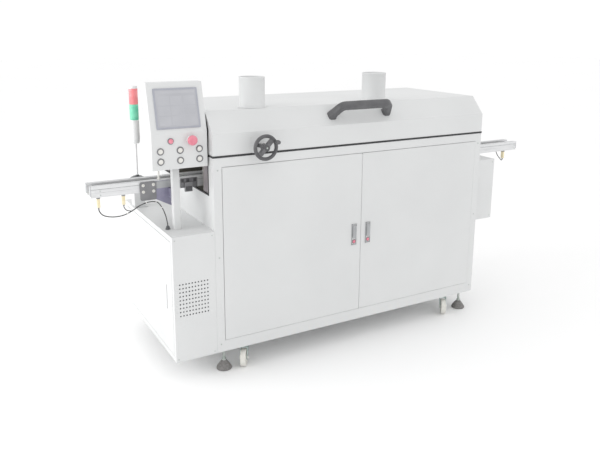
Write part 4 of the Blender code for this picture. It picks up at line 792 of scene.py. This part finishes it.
def tower():
    """Pedestal, flange, pole and lamp modules of the tower light."""
    low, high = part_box("tower_base")
    centre = middle("tower_base") - CORNER
    x, y = centre.x, centre.y
    deck = 0.765
    collar = 0.011
    lamp_bottom = 0.928
    radius = TOWER_RADIUS
    shape = bmesh.new()
    for half, top in ((0.025, deck), (0.034, low.z + 0.003)):
        block(shape, (x - half, y - half, low.z), (x + half, y + half, top))
    piece("tower_pedestal", shape, "cabinet", POWDER, "powder_white", bevel=0.001)
    shape = bmesh.new()
    revolve(shape, [(0, 0), (0.033, 0), (0.033, 0.003), (0.030, 0.006), (0.022, collar - 0.002),
                    (0.020, collar), (0.009, collar + 0.001), (0.0075, collar + 0.006), (0, collar + 0.006)],
            (x, y, deck), steps=48)
    piece("tower_flange", shape, "cabinet", CHARCOAL, "charcoal_plastic")
    shape = bmesh.new()
    disc(shape, (x, y, deck), 0.0045, 0.010, lamp_bottom - deck + 0.006, steps=24)
    piece("tower_pole", shape, "cabinet", WHITE_PLASTIC, "aluminium")
    shape = bmesh.new()
    top = high.z
    revolve(shape, [(0, lamp_bottom), (0.0150, lamp_bottom), (0.0172, lamp_bottom + 0.002),
                    (0.0186, lamp_bottom + 0.010), (radius, lamp_bottom + 0.022), (radius, top - 0.002),
                    (radius - 0.0008, top), (0, top)], (x, y, 0), steps=ROUND)
    piece("tower_socket", shape, "cabinet", WHITE_PLASTIC, "lamp_white", replaces=("tower_base",))
    for name, finish, slot in (
        ("tower_green", GREEN_LENS, "lens_green"), ("tower_red", RED_LENS, "lens_red"),
    ):
        low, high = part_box(name)
        cap = 0.012 if name == "tower_red" else 0
        lens_top = high.z - cap
        shape = bmesh.new()
        neck, belly = radius - 0.001, radius - 0.0004
        lens = [(0, low.z), (neck, low.z), (neck, low.z + 0.002), (belly, low.z + 0.003),
                (belly, lens_top - 0.003), (neck, lens_top - 0.002), (neck, lens_top), (0, lens_top)]
        revolve(shape, lens, (x, y, 0), steps=120, wave=lambda angle: 0.00035 * math.cos(30 * angle))
        piece(name + "_lens", shape, "cabinet", finish, slot, replaces=(name,), sharp=50)
    shape = bmesh.new()
    revolve(shape, [(0, -0.012), (radius * 0.95, -0.012), (radius * 0.95, -0.0035), (radius * 0.88, -0.001),
                    (radius * 0.7, 0), (0, 0)], (x, y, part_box("tower_red")[1].z), steps=ROUND)
    piece("tower_cap", shape, "cabinet", WHITE_PLASTIC, "lamp_white")


# ---------------------------------------------------------------- doors, lid and wheel
def locks():
    """Frame, lever and button of each swing-out lock."""
    for side in ("left", "right"):
        low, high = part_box(f"lock_lever_{side}")
        lever = (low + high) / 2 - CORNER
        button = middle(f"lock_button_{side}") - CORNER
        back = high.y - CORNER.y
        bottom, top = 0.473, 0.571
        half, rail, over = 0.0125, 0.0028, 0.0022
        shape = bmesh.new()
        for left, right, z_low, z_high in (
            (-half, rail - half, bottom, top), (half - rail, half, bottom, top),
            (-half, half, top - 0.0032, top), (-half, half, bottom, bottom + 0.0045),
        ):
            block(shape, (lever.x + left, back - over, z_low), (lever.x + right, back + over, z_high))
        piece(f"lock_frame_{side}", shape, f"front_door_{side}", LOCK_GREY, "zinc", bevel=0.0006)
        shape = bmesh.new()
        revolve(shape, [(0.0082, 0), (0.0092, 0), (0.0092, 0.0016), (0.0082, 0.0020)],
                (lever.x, back, button.z), OUT, 36, closed=True)
        piece(f"lock_ring_{side}", shape, f"front_door_{side}", RING, "dark_steel", sharp=30)
        shape = bmesh.new()
        z_low, z_high = low.z, high.z - 0.003
        grip = rounded(lever.x - 0.0088, lever.x + 0.0088, z_low, z_high, 0.003)
        prism(shape, grip, "Y", back - 0.0058, back)
        block(shape, (lever.x - 0.0045, back - 0.0066, z_low + 0.008),
              (lever.x + 0.0045, back - 0.0056, z_high - 0.010))
        piece(f"lock_handle_{side}", shape, f"lock_lever_{side}", LOCK_GREY, "zinc", bevel=0.0009,
              replaces=(f"lock_lever_{side}",))
        shape = bmesh.new()
        revolve(shape, [(0, 0.0043), (0.0040, 0.0043), (0.0062, 0.0040), (0.0073, 0.0030), (0.0075, 0.0015),
                        (0.0075, -0.0075), (0, -0.0075)], (lever.x, back, button.z), OUT, 36)
        piece(f"lock_press_{side}", shape, f"lock_button_{side}", RED, "red_plastic",
              replaces=(f"lock_button_{side}",))


def handwheel():
    """Round rim, diagonal box web, hub, shaft and sprocket of the width handwheel, and its knob."""
    knob = middle("handwheel_knob") - CORNER
    low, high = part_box("handwheel")
    wheel = (low + high) / 2 - CORNER
    rim_radius = (high.z - low.z) / 2
    bar = 0.0075
    plane = WHEEL_PLANE
    reach = rim_radius - bar
    shape = bmesh.new()
    section = [(reach + bar * math.cos(turn), bar * math.sin(turn)) for turn in
               (math.tau * step / 16 for step in range(16))]
    revolve(shape, section, (wheel.x, plane, wheel.z), OUT, 64, closed=True)
    slant = Matrix.Rotation(math.radians(-46), 4, "Y")
    web = bmesh.new()
    block(web, (-reach, -0.0035, -0.011), (reach, 0.0035, 0.011))
    block(web, (-reach * 0.62, -0.0095, -0.0075), (reach * 0.45, 0.0035, 0.0075))
    placed = Matrix.Translation(at(wheel.x, plane, wheel.z)) @ slant @ Matrix.Translation(-CORNER)
    bmesh.ops.transform(web, matrix=placed, verts=web.verts)
    holder = bpy.data.meshes.new("web")
    web.to_mesh(holder)
    web.free()
    shape.from_mesh(holder)
    bpy.data.meshes.remove(holder)
    revolve(shape, [(0, 0.0115), (0.007, 0.0115), (0.0085, 0.0100), (0.0150, 0.0090), (0.0150, -0.021),
                    (0.008, -0.021), (0.008, -0.125), (0, -0.125)], (wheel.x, plane, wheel.z), OUT, 40)
    piece("width_wheel", shape, "handwheel", WHEEL, "charcoal_plastic", bevel=0.0009,
          replaces=("handwheel",), sharp=50)
    shape = bmesh.new()
    teeth, half = 12, 0.0023
    disc(shape, (wheel.x, 0.055, wheel.z), 0.0152, -half, half, Y_AXIS, 96,
         wave=lambda angle: 0.0007 * math.cos(teeth * angle))
    disc(shape, (wheel.x, plane, wheel.z), 0.0032, 0.012, 0.0138, OUT, 24)
    piece("wheel_sprocket", shape, "handwheel", ZINC, "charcoal_plastic", sharp=30)
    shape = bmesh.new()
    half = 0.015
    revolve(shape, [(0, half), (0.0052, half), (0.0078, half * 0.86), (0.0089, half * 0.5), (0.0086, 0),
                    (0.0070, -half * 0.55), (0.0062, -half * 0.9), (0.0062, -half), (0, -half)],
            (knob.x, knob.y, knob.z), OUT, 40)
    piece("wheel_knob", shape, "handwheel_knob", WHEEL, "charcoal_plastic",
          replaces=("handwheel_knob",), sharp=50)


def wheel_plate():
    """White plate on the bearing bracket that closes the lid's notch behind the handwheel."""
    wheel = middle("handwheel") - CORNER
    half = 0.037
    bore = 0.0115
    outline = rounded(wheel.x - half, wheel.x + half, LID_BOTTOM + 0.0018, WHEEL_Z + half, 0.004)
    shape = bmesh.new()
    near, far = -0.0024, -0.0006
    steps = len(outline)
    turns = [math.atan2(z - WHEEL_Z, x - wheel.x) for x, z in outline]
    hole = [(wheel.x + bore * math.cos(turn), WHEEL_Z + bore * math.sin(turn)) for turn in turns]
    rings = [[shape.verts.new(at(x, y, z)) for x, z in points]
             for y, points in ((near, outline), (near, hole), (far, hole), (far, outline))]
    for low, high in zip(rings, rings[1:] + rings[:1]):
        for index in range(steps):
            after = (index + 1) % steps
            shape.faces.new([low[index], low[after], high[after], high[index]])
    piece("wheel_backplate", shape, "cabinet", POWDER, "powder_white", bevel=0.0004)


def door_strip():
    """Closing strip on the left door that fills the gap between the two doors."""
    low, high = (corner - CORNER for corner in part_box("front_door_left"))
    margin = 0.004
    shape = bmesh.new()
    block(shape, (high.x - 0.0002, low.y + 0.0011, low.z + margin),
          (high.x + 0.0011, low.y + 0.0130, high.z - margin))
    piece("door_strip", shape, "front_door_left", POWDER, "powder_white")


def rail_guard():
    """Dark cover, block and clips on the fixed rail between the pod's post and the oven's mouth."""
    near = RAIL_FACE - 0.0016
    shape = bmesh.new()
    cover = rounded(-0.078, -0.004, RAIL_BOTTOM + 0.001, RAIL_TOP - 0.003, 0.003)
    prism(shape, cover, "Y", near - 0.0030, near)
    block(shape, (-0.062, near - 0.0150, RAIL_BOTTOM - 0.014), (-0.030, near - 0.0028, RAIL_BOTTOM + 0.026))
    piece("rail_guard", shape, "cabinet", GREY_PLATE, "dark_steel", bevel=0.0008)
    shape = bmesh.new()
    for x in (-0.070, -0.046, -0.016):
        block(shape, (x - 0.006, near - 0.0062, RAIL_TOP - 0.020),
              (x + 0.006, near - 0.0028, RAIL_TOP - 0.006))
        screw_head(shape, (x, near - 0.0062, RAIL_TOP - 0.013), OUT, 0.0030, 0.0016)
    block(shape, (-0.058, near - 0.0190, RAIL_BOTTOM - 0.010), (-0.034, near - 0.0148, RAIL_BOTTOM + 0.008))
    piece("rail_guard_clips", shape, "cabinet", BLACK_STEEL, "dark_steel", bevel=0.0005, sharp=30)


def lid_handle():
    """Chunky pull bar with flared feet, square on the lid's slope."""
    up = Vector((0, SLOPE_RUN, SLOPE_RISE)).normalized()
    out = Vector((0, -SLOPE_RISE, SLOPE_RUN)).normalized()
    foot = Vector((LENGTH / 2, 0, LID_BOTTOM + 0.088)) + Vector((0, SLOPE_RUN, SLOPE_RISE)) * 0.45
    half, inset, stand = 0.1445, 0.022, 0.070
    corner_steps = 8

    def bend(corner, before, after, radius):
        """Points on the arc that rounds one corner of the bar's line."""
        corner, before, after = Vector(corner), Vector(before), Vector(after)
        back = (before - corner).normalized()
        ahead = (after - corner).normalized()
        opening = back.angle(ahead) / 2
        centre = corner + (back + ahead).normalized() * (radius / math.sin(opening))
        start = (corner + back * (radius / math.tan(opening)) - centre).normalized()
        end = (corner + ahead * (radius / math.tan(opening)) - centre).normalized()
        return [centre + start.slerp(end, step / corner_steps) * radius for step in range(corner_steps + 1)]

    left = [Vector((-half, 0)), Vector((-half, 0.010)), Vector((-half + 0.003, 0.022))]
    knee = bend((-half + inset, stand), (-half, 0.014), (0, stand), 0.026)
    line = left + knee
    line += [Vector((-point.x, point.y)) for point in reversed(line)]
    rings = []
    corners = rounded(-1, 1, -1, 1, 0.55, 4)
    for index, point in enumerate(line):
        along = (line[min(index + 1, len(line) - 1)] - line[max(index - 1, 0)]).normalized()
        if index in (0, len(line) - 1):
            along = Vector((0, 1 if index == 0 else -1))
        side = Vector((along.y, -along.x))
        flare = 1 + 0.22 * max(0.0, 1 - point.y / 0.030) ** 1.5
        wide, deep = 0.0172 * flare, 0.0158 * flare
        rings.append([
            foot + X_AXIS * (point.x + side.x * deep * b) + out * (point.y + side.y * deep * b)
            + up * (wide * a) for a, b in corners
        ])
    shape = bmesh.new()
    loft(shape, rings)
    piece("pull_bar", shape, "lid", HANDLE, "charcoal_plastic", replaces=("lid_handle",), sharp=60)


def stacks():
    """Round exhaust tubes with a rolled rim and a foot flange."""
    for side in ("left", "right"):
        node = f"exhaust_stack_{side}"
        low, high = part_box(node)
        centre = (low + high) / 2 - CORNER
        outer, wall, flange = 0.055, 0.0022, 0.063
        height = high.z - low.z
        place = (centre.x, centre.y, low.z)
        shape = bmesh.new()
        revolve(shape, [
            (outer - wall, 0), (flange - 0.0006, 0), (flange, 0.0006), (flange - 0.0006, 0.0022),
            (outer + 0.0022, 0.0025), (outer + 0.0005, 0.0040), (outer, 0.0060), (outer, height - 0.0042),
            (outer + 0.0013, height - 0.0032), (outer + 0.0016, height - 0.0016),
            (outer + 0.0006, height - 0.0003), (outer - 0.0010, height), (outer - wall, height - 0.0012),
        ], place, steps=96, closed=True)
        piece(f"stack_tube_{side}", shape, "lid", POWDER, "powder_white", replaces=(node,), sharp=60)


def vent():
    """Dark filter behind the round-hole vent."""
    left = INFEED_LOW.x - CORNER.x
    shape = bmesh.new()
    block(shape, (left + 0.012, SHEET + 0.0006, 0.285), (left + 0.160, SHEET + 0.0030, 0.452))
    piece("vent_filter", shape, "cabinet", BLACK_STEEL, "dark_steel")


def panel_screws():
    """Small screws on the fixed sheets and their corners."""
    shape = bmesh.new()
    infeed_left = INFEED_LOW.x - CORNER.x
    outfeed_right = OUTFEED_HIGH.x - CORNER.x
    outfeed_front = OUTFEED_LOW.y - CORNER.y
    inset, columns = 0.018, 6
    back_xs = [0.03 + (LENGTH - 0.06) * column / (columns - 1) for column in range(columns)]
    for xs, y, zs, axis, radius, height in (
        ((inset, LENGTH - inset), 0, (0.885, 0.52, 0.135), OUT, 0.0032, 0.0014),
        ((infeed_left + 0.010, -0.012), 0, (0.112, BOX_TOP - 0.014), OUT, 0.0028, 0.0012),
        ((LENGTH + 0.014, outfeed_right - 0.012), outfeed_front, (OUTFEED_LOW.z + 0.014, RAIL_BOTTOM - inset),
         OUT, 0.0028, 0.0012),
        (back_xs, DEPTH, (0.125, 0.50, 0.880), Y_AXIS, 0.0036, 0.0016),
    ):
        for x in xs:
            for z in zs:
                screw_head(shape, (x, y, z), axis, radius, height)
    for y in (0.04, DEPTH / 2, DEPTH - 0.04):
        screw_head(shape, (LENGTH, y, 0.125), X_AXIS, 0.0036, 0.0016)
    piece("panel_screws", shape, "cabinet", ZINC, "zinc", sharp=30)


# ---------------------------------------------------------------- machinery
def motor():
    """Gear case with four screws, and a finned can behind it."""
    low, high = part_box("conveyor_motor")
    centre = (low + high) / 2 - CORNER
    half, case, bolt = 0.042, 0.045, 0.033
    front = low.y - CORNER.y
    shape = bmesh.new()
    prism(shape, rounded(centre.x - half, centre.x + half, centre.z - half, centre.z + half, 0.010), "Y",
          front, front + case)
    piece("gear_case", shape, "cabinet", GREY_PLATE, "dark_steel", bevel=0.0015, replaces=("conveyor_motor",))
    shape = bmesh.new()
    revolve(shape, [(0, case), (0.0345, case), (0.0345, 0.048), (0.0362, 0.050), (0.0362, 0.098),
                    (0.0345, 0.100), (0.0345, 0.104), (0.0375, 0.105), (0.0375, 0.112), (0.034, 0.115),
                    (0, 0.115)],
            (centre.x, front, centre.z), Y_AXIS, 144, wave=lambda angle: 0.0009 * math.cos(36 * angle))
    piece("motor_can", shape, "cabinet", BLACK_STEEL, "dark_steel", sharp=45)
    shape = bmesh.new()
    for dx in (-bolt, bolt):
        for dz in (-bolt, bolt):
            screw_head(shape, (centre.x + dx, front + case, centre.z + dz), Y_AXIS, 0.004, 0.0024)
    piece("gear_case_screws", shape, "cabinet", ZINC, "zinc", sharp=30)


def modules():
    """Coloured cases and terminal rows over the control modules."""
    back = DEPTH - SHEET - 0.02
    grey = bmesh.new()
    blue = bmesh.new()
    screws = bmesh.new()
    slots = bmesh.new()
    for target, x, width, z, height, depth in (
        (blue, 0.34, 0.17, 0.44, 0.13, 0.075), (grey, 0.56, 0.30, 0.44, 0.13, 0.055),
        (grey, 0.92, 0.16, 0.42, 0.16, 0.060), (blue, 0.36, 0.34, 0.24, 0.10, 0.070),
        (grey, 0.76, 0.30, 0.24, 0.06, 0.045),
    ):
        face = back - depth
        skin = 0.0006
        block(target, (x - skin, face - 0.0008, z - skin),
              (x + width + skin, back - 0.001, z + height + skin))
        count = int(width / 0.018)
        for index in range(count):
            spot = x + width * (index + 0.5) / count
            for edge in (z + 0.012, z + height - 0.012):
                block(slots, (spot - 0.005, face - 0.0014, edge - 0.006),
                      (spot + 0.005, face - skin, edge + 0.006))
                screw_head(screws, (spot, face - 0.0012, edge), OUT, 0.0032, 0.0016)
    piece("modules_blue", blue, "cabinet", HOUSING_BLUE, "charcoal_plastic", bevel=0.0015)
    piece("modules_grey", grey, "cabinet", HOUSING_GREY, "cap_white", bevel=0.0015)
    piece("terminal_slots", slots, "cabinet", CHARCOAL, "charcoal_plastic")
    piece("terminal_screws", screws, "cabinet", ZINC, "zinc", sharp=30)


# ---------------------------------------------------------------- feet and casters
def feet():
    """Rubber pad, steel stud and jam nut of each levelling foot."""
    for corner in CORNERS:
        node = f"foot_{corner}"
        low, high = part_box(node)
        centre = (low + high) / 2 - CORNER
        place = (centre.x, centre.y, 0)
        shape = bmesh.new()
        revolve(shape, [(0, 0.040), (0.0095, 0.040), (0.0120, 0.0375), (0.0150, 0.033), (0.0200, 0.027),
                        (0.0262, 0.018), (0.0305, 0.0115), (0.0326, 0.0075), (0.0330, 0.0045),
                        (0.0326, 0.0012), (0.0310, 0.0002), (0, 0)], place, steps=64)
        piece(f"foot_pad_{corner}", shape, "cabinet", FOOT_RUBBER, "rubber", replaces=(node,), sharp=60)
        shape = bmesh.new()
        hexagon(shape, (centre.x, centre.y, 0.040), 0.0105, 0.006)
        thread = [(0.0060 if step % 2 else 0.0054, 0.046 + 0.0012 * step) for step in range(38)]
        revolve(shape, [(0, 0.0455), *thread, (0, high.z)], place, steps=24)
        hexagon(shape, (centre.x, centre.y, high.z - 0.0062), 0.0118, 0.0058)
        piece(f"foot_stud_{corner}", shape, "cabinet", ZINC, "zinc", sharp=30)


def casters():
    """Swivel casters: a bolted plate on the cabinet, a plated fork and a pale wheel with a hub."""
    for corner in CORNERS:
        fork_node = f"caster_fork_{corner}"
        wheel_node = f"caster_wheel_{corner}"
        wheel_centre = middle(wheel_node) - CORNER
        pivot_x = wheel_centre.x - CASTER_TRAIL * math.cos(CASTER_HEADING)
        pivot_y = wheel_centre.y - CASTER_TRAIL * math.sin(CASTER_HEADING)
        place = Matrix.Translation(at(pivot_x, pivot_y, 0)) @ Matrix.Rotation(CASTER_HEADING, 4, "Z")
        place = place @ Matrix.Translation(-CORNER)

        shape = bmesh.new()
        plate = rounded(pivot_x - 0.034, pivot_x + 0.034, pivot_y - 0.028, pivot_y + 0.028, 0.005)
        prism(shape, plate, "Z", 0.0972, 0.0999)
        for dx in (-0.026, 0.026):
            for dy in (-0.020, 0.020):
                hexagon(shape, (pivot_x + dx, pivot_y + dy, 0.0935), 0.0052, 0.0038)
        piece(f"caster_plate_{corner}", shape, "cabinet", ZINC, "zinc", bevel=0.0004, sharp=30)

        for name, build, body, finish, slot, looks in (
            ("race", caster_race, fork_node, BLACK_STEEL, "dark_steel", {"sharp": 50}),
            ("yoke", caster_yoke, fork_node, FORK, "zinc", {"bevel": 0.0006, "replaces": (fork_node,)}),
            ("axle", caster_axle, fork_node, IVORY, "zinc", {"sharp": 30}),
            ("roller", caster_roller, wheel_node, NYLON, "wheel_nylon",
             {"replaces": (wheel_node,), "sharp": 40}),
            ("hub", caster_hub, wheel_node, LOCK_GREY, "wheel_nylon", {"sharp": 30}),
        ):
            shape = bmesh.new()
            build(shape)
            bmesh.ops.transform(shape, matrix=place, verts=shape.verts)
            piece(f"caster_{name}_{corner}", shape, body, finish, slot, **looks)


def caster_race(shape):
    revolve(shape, [(0, 0.0968), (0.0145, 0.0968), (0.0190, 0.0950), (0.0208, 0.0920), (0.0208, 0.0900),
                    (0.0185, 0.0880), (0.0185, 0.0865), (0, 0.0865)], (0, 0, 0))


def caster_yoke(shape):
    outer, crown, boss, steps = CASTER_INNER + CASTER_LEG, 0.0817, 0.0105, 8
    prism(shape, rounded(-0.021, 0.031, -outer, outer, 0.006), "Z", crown, crown + 0.0050)
    side = [(-0.019, crown + 0.003), (0.031, crown + 0.003)]
    for step in range(steps + 1):
        turn = math.radians(20 - 200 * step / steps)
        side.append((CASTER_TRAIL + boss * math.cos(turn), CASTER_AXLE_Z + boss * math.sin(turn)))
    side += [(0.016, 0.055), (-0.004, 0.068), (-0.017, 0.076)]
    for start in (-outer, CASTER_INNER):
        prism(shape, side, "Y", start, start + CASTER_LEG)


def caster_axle(shape):
    reach = CASTER_INNER + CASTER_LEG
    disc(shape, (CASTER_TRAIL, 0, CASTER_AXLE_Z), 0.0036, -reach, reach, Y_AXIS, 24)
    for sign in (-1, 1):
        revolve(shape, [(0, 0), (0.0068, 0), (0.0068, 0.0028), (0.0056, 0.0038), (0, 0.0038)],
                (CASTER_TRAIL, sign * reach, CASTER_AXLE_Z), (0, sign, 0), 6)


def caster_roller(shape):
    radius, half, soft, steps = 0.0385, CASTER_HALF, 0.0045, 5
    turns = [math.pi / 2 * step / steps for step in range(steps + 1)]
    tread = [(radius - soft + soft * math.sin(turn), half - soft + soft * math.cos(turn)) for turn in turns]
    near = [(0.0046, half), (0.0120, half), (0.0132, half - 0.0018), (0.0290, half - 0.0024),
            (0.0306, half - 0.0004), *tread]
    far = [(reach, -height) for reach, height in reversed(near)]
    revolve(shape, near + far, (CASTER_TRAIL, 0, CASTER_AXLE_Z), Y_AXIS, 72, closed=True)


def caster_hub(shape):
    bore, rim, low, high = 0.0048, 0.0105, CASTER_HALF - 0.0005, CASTER_HALF + 0.0006
    for sign in (-1, 1):
        revolve(shape, [(bore, low), (rim, low), (rim, high), (bore, high)],
                (CASTER_TRAIL, 0, CASTER_AXLE_Z), (0, sign, 0), 40, closed=True)


# ---------------------------------------------------------------- stage
def stage():
    shape = bmesh.new()
    bmesh.ops.create_grid(shape, x_segments=1, y_segments=1, size=30)
    mesh = bpy.data.meshes.new("floor")
    shape.to_mesh(mesh)
    shape.free()
    floor = bpy.data.objects.new("floor", mesh)
    bpy.context.scene.collection.objects.link(floor)
    pale = surface("pale_floor", (0.97, 0.97, 0.97), (0.98, 0.98, 0.98), 0.7, cloud=0.3, relief=0)
    mesh.materials.append(pale)

    world = bpy.data.worlds.new("studio")
    bpy.context.scene.world = world
    world.use_nodes = True
    world.node_tree.nodes["Background"].inputs["Color"].default_value = (1.0, 1.0, 1.0, 1)
    world.node_tree.nodes["Background"].inputs["Strength"].default_value = 1.03
    area_light("key", (-4.2, 0.5, 1.8), 2.4, 60)
    area_light("fill", (0.6, -4.2, 2.4), 3.0, 5)


def area_light(name, place, size, power):
    light = bpy.data.lights.new(name, "AREA")
    light.size = size
    light.energy = power
    obj = bpy.data.objects.new(name, light)
    bpy.context.scene.collection.objects.link(obj)
    obj.location = place
    aim = Vector((0, 0, 0.6)) - Vector(place)
    obj.rotation_euler = aim.to_track_quat("-Z", "Y").to_euler()


def camera():
    """Standing left of the oven's front, looking along it and a little down."""
    yaw, pitch, roll = math.radians(29.51), math.radians(12.9), math.radians(0.32)
    view = Vector((math.sin(yaw) * math.cos(pitch), math.cos(yaw) * math.cos(pitch), -math.sin(pitch)))
    level = Vector((math.cos(yaw), -math.sin(yaw), 0))
    upright = level.cross(view)
    right = level * math.cos(roll) + upright * math.sin(roll)
    up = upright * math.cos(roll) - level * math.sin(roll)
    data = bpy.data.cameras.new("camera")
    data.lens = 39.62
    data.sensor_width = 36
    data.shift_y = -0.075
    data.clip_end = 100
    obj = bpy.data.objects.new("camera", data)
    bpy.context.scene.collection.objects.link(obj)
    turn = Matrix((right, up, -view)).transposed().to_4x4()
    place = Vector((BODY_LOW.x - 0.959, BODY_LOW.y - 2.391, 1.436))
    obj.matrix_world = Matrix.Translation(place) @ turn
    bpy.context.scene.camera = obj
    bpy.context.scene.view_settings.view_transform = "Standard"


for build in (
    dress_frame, seals, linings, rails, rail_guard, chains, sensors, leads, bracket, screen, buttons,
    tower, locks, door_strip, handwheel, wheel_plate, lid_handle, stacks, vent, panel_screws,
    drive_bearing, motor, modules, feet, casters, stage, camera,
):
    build()
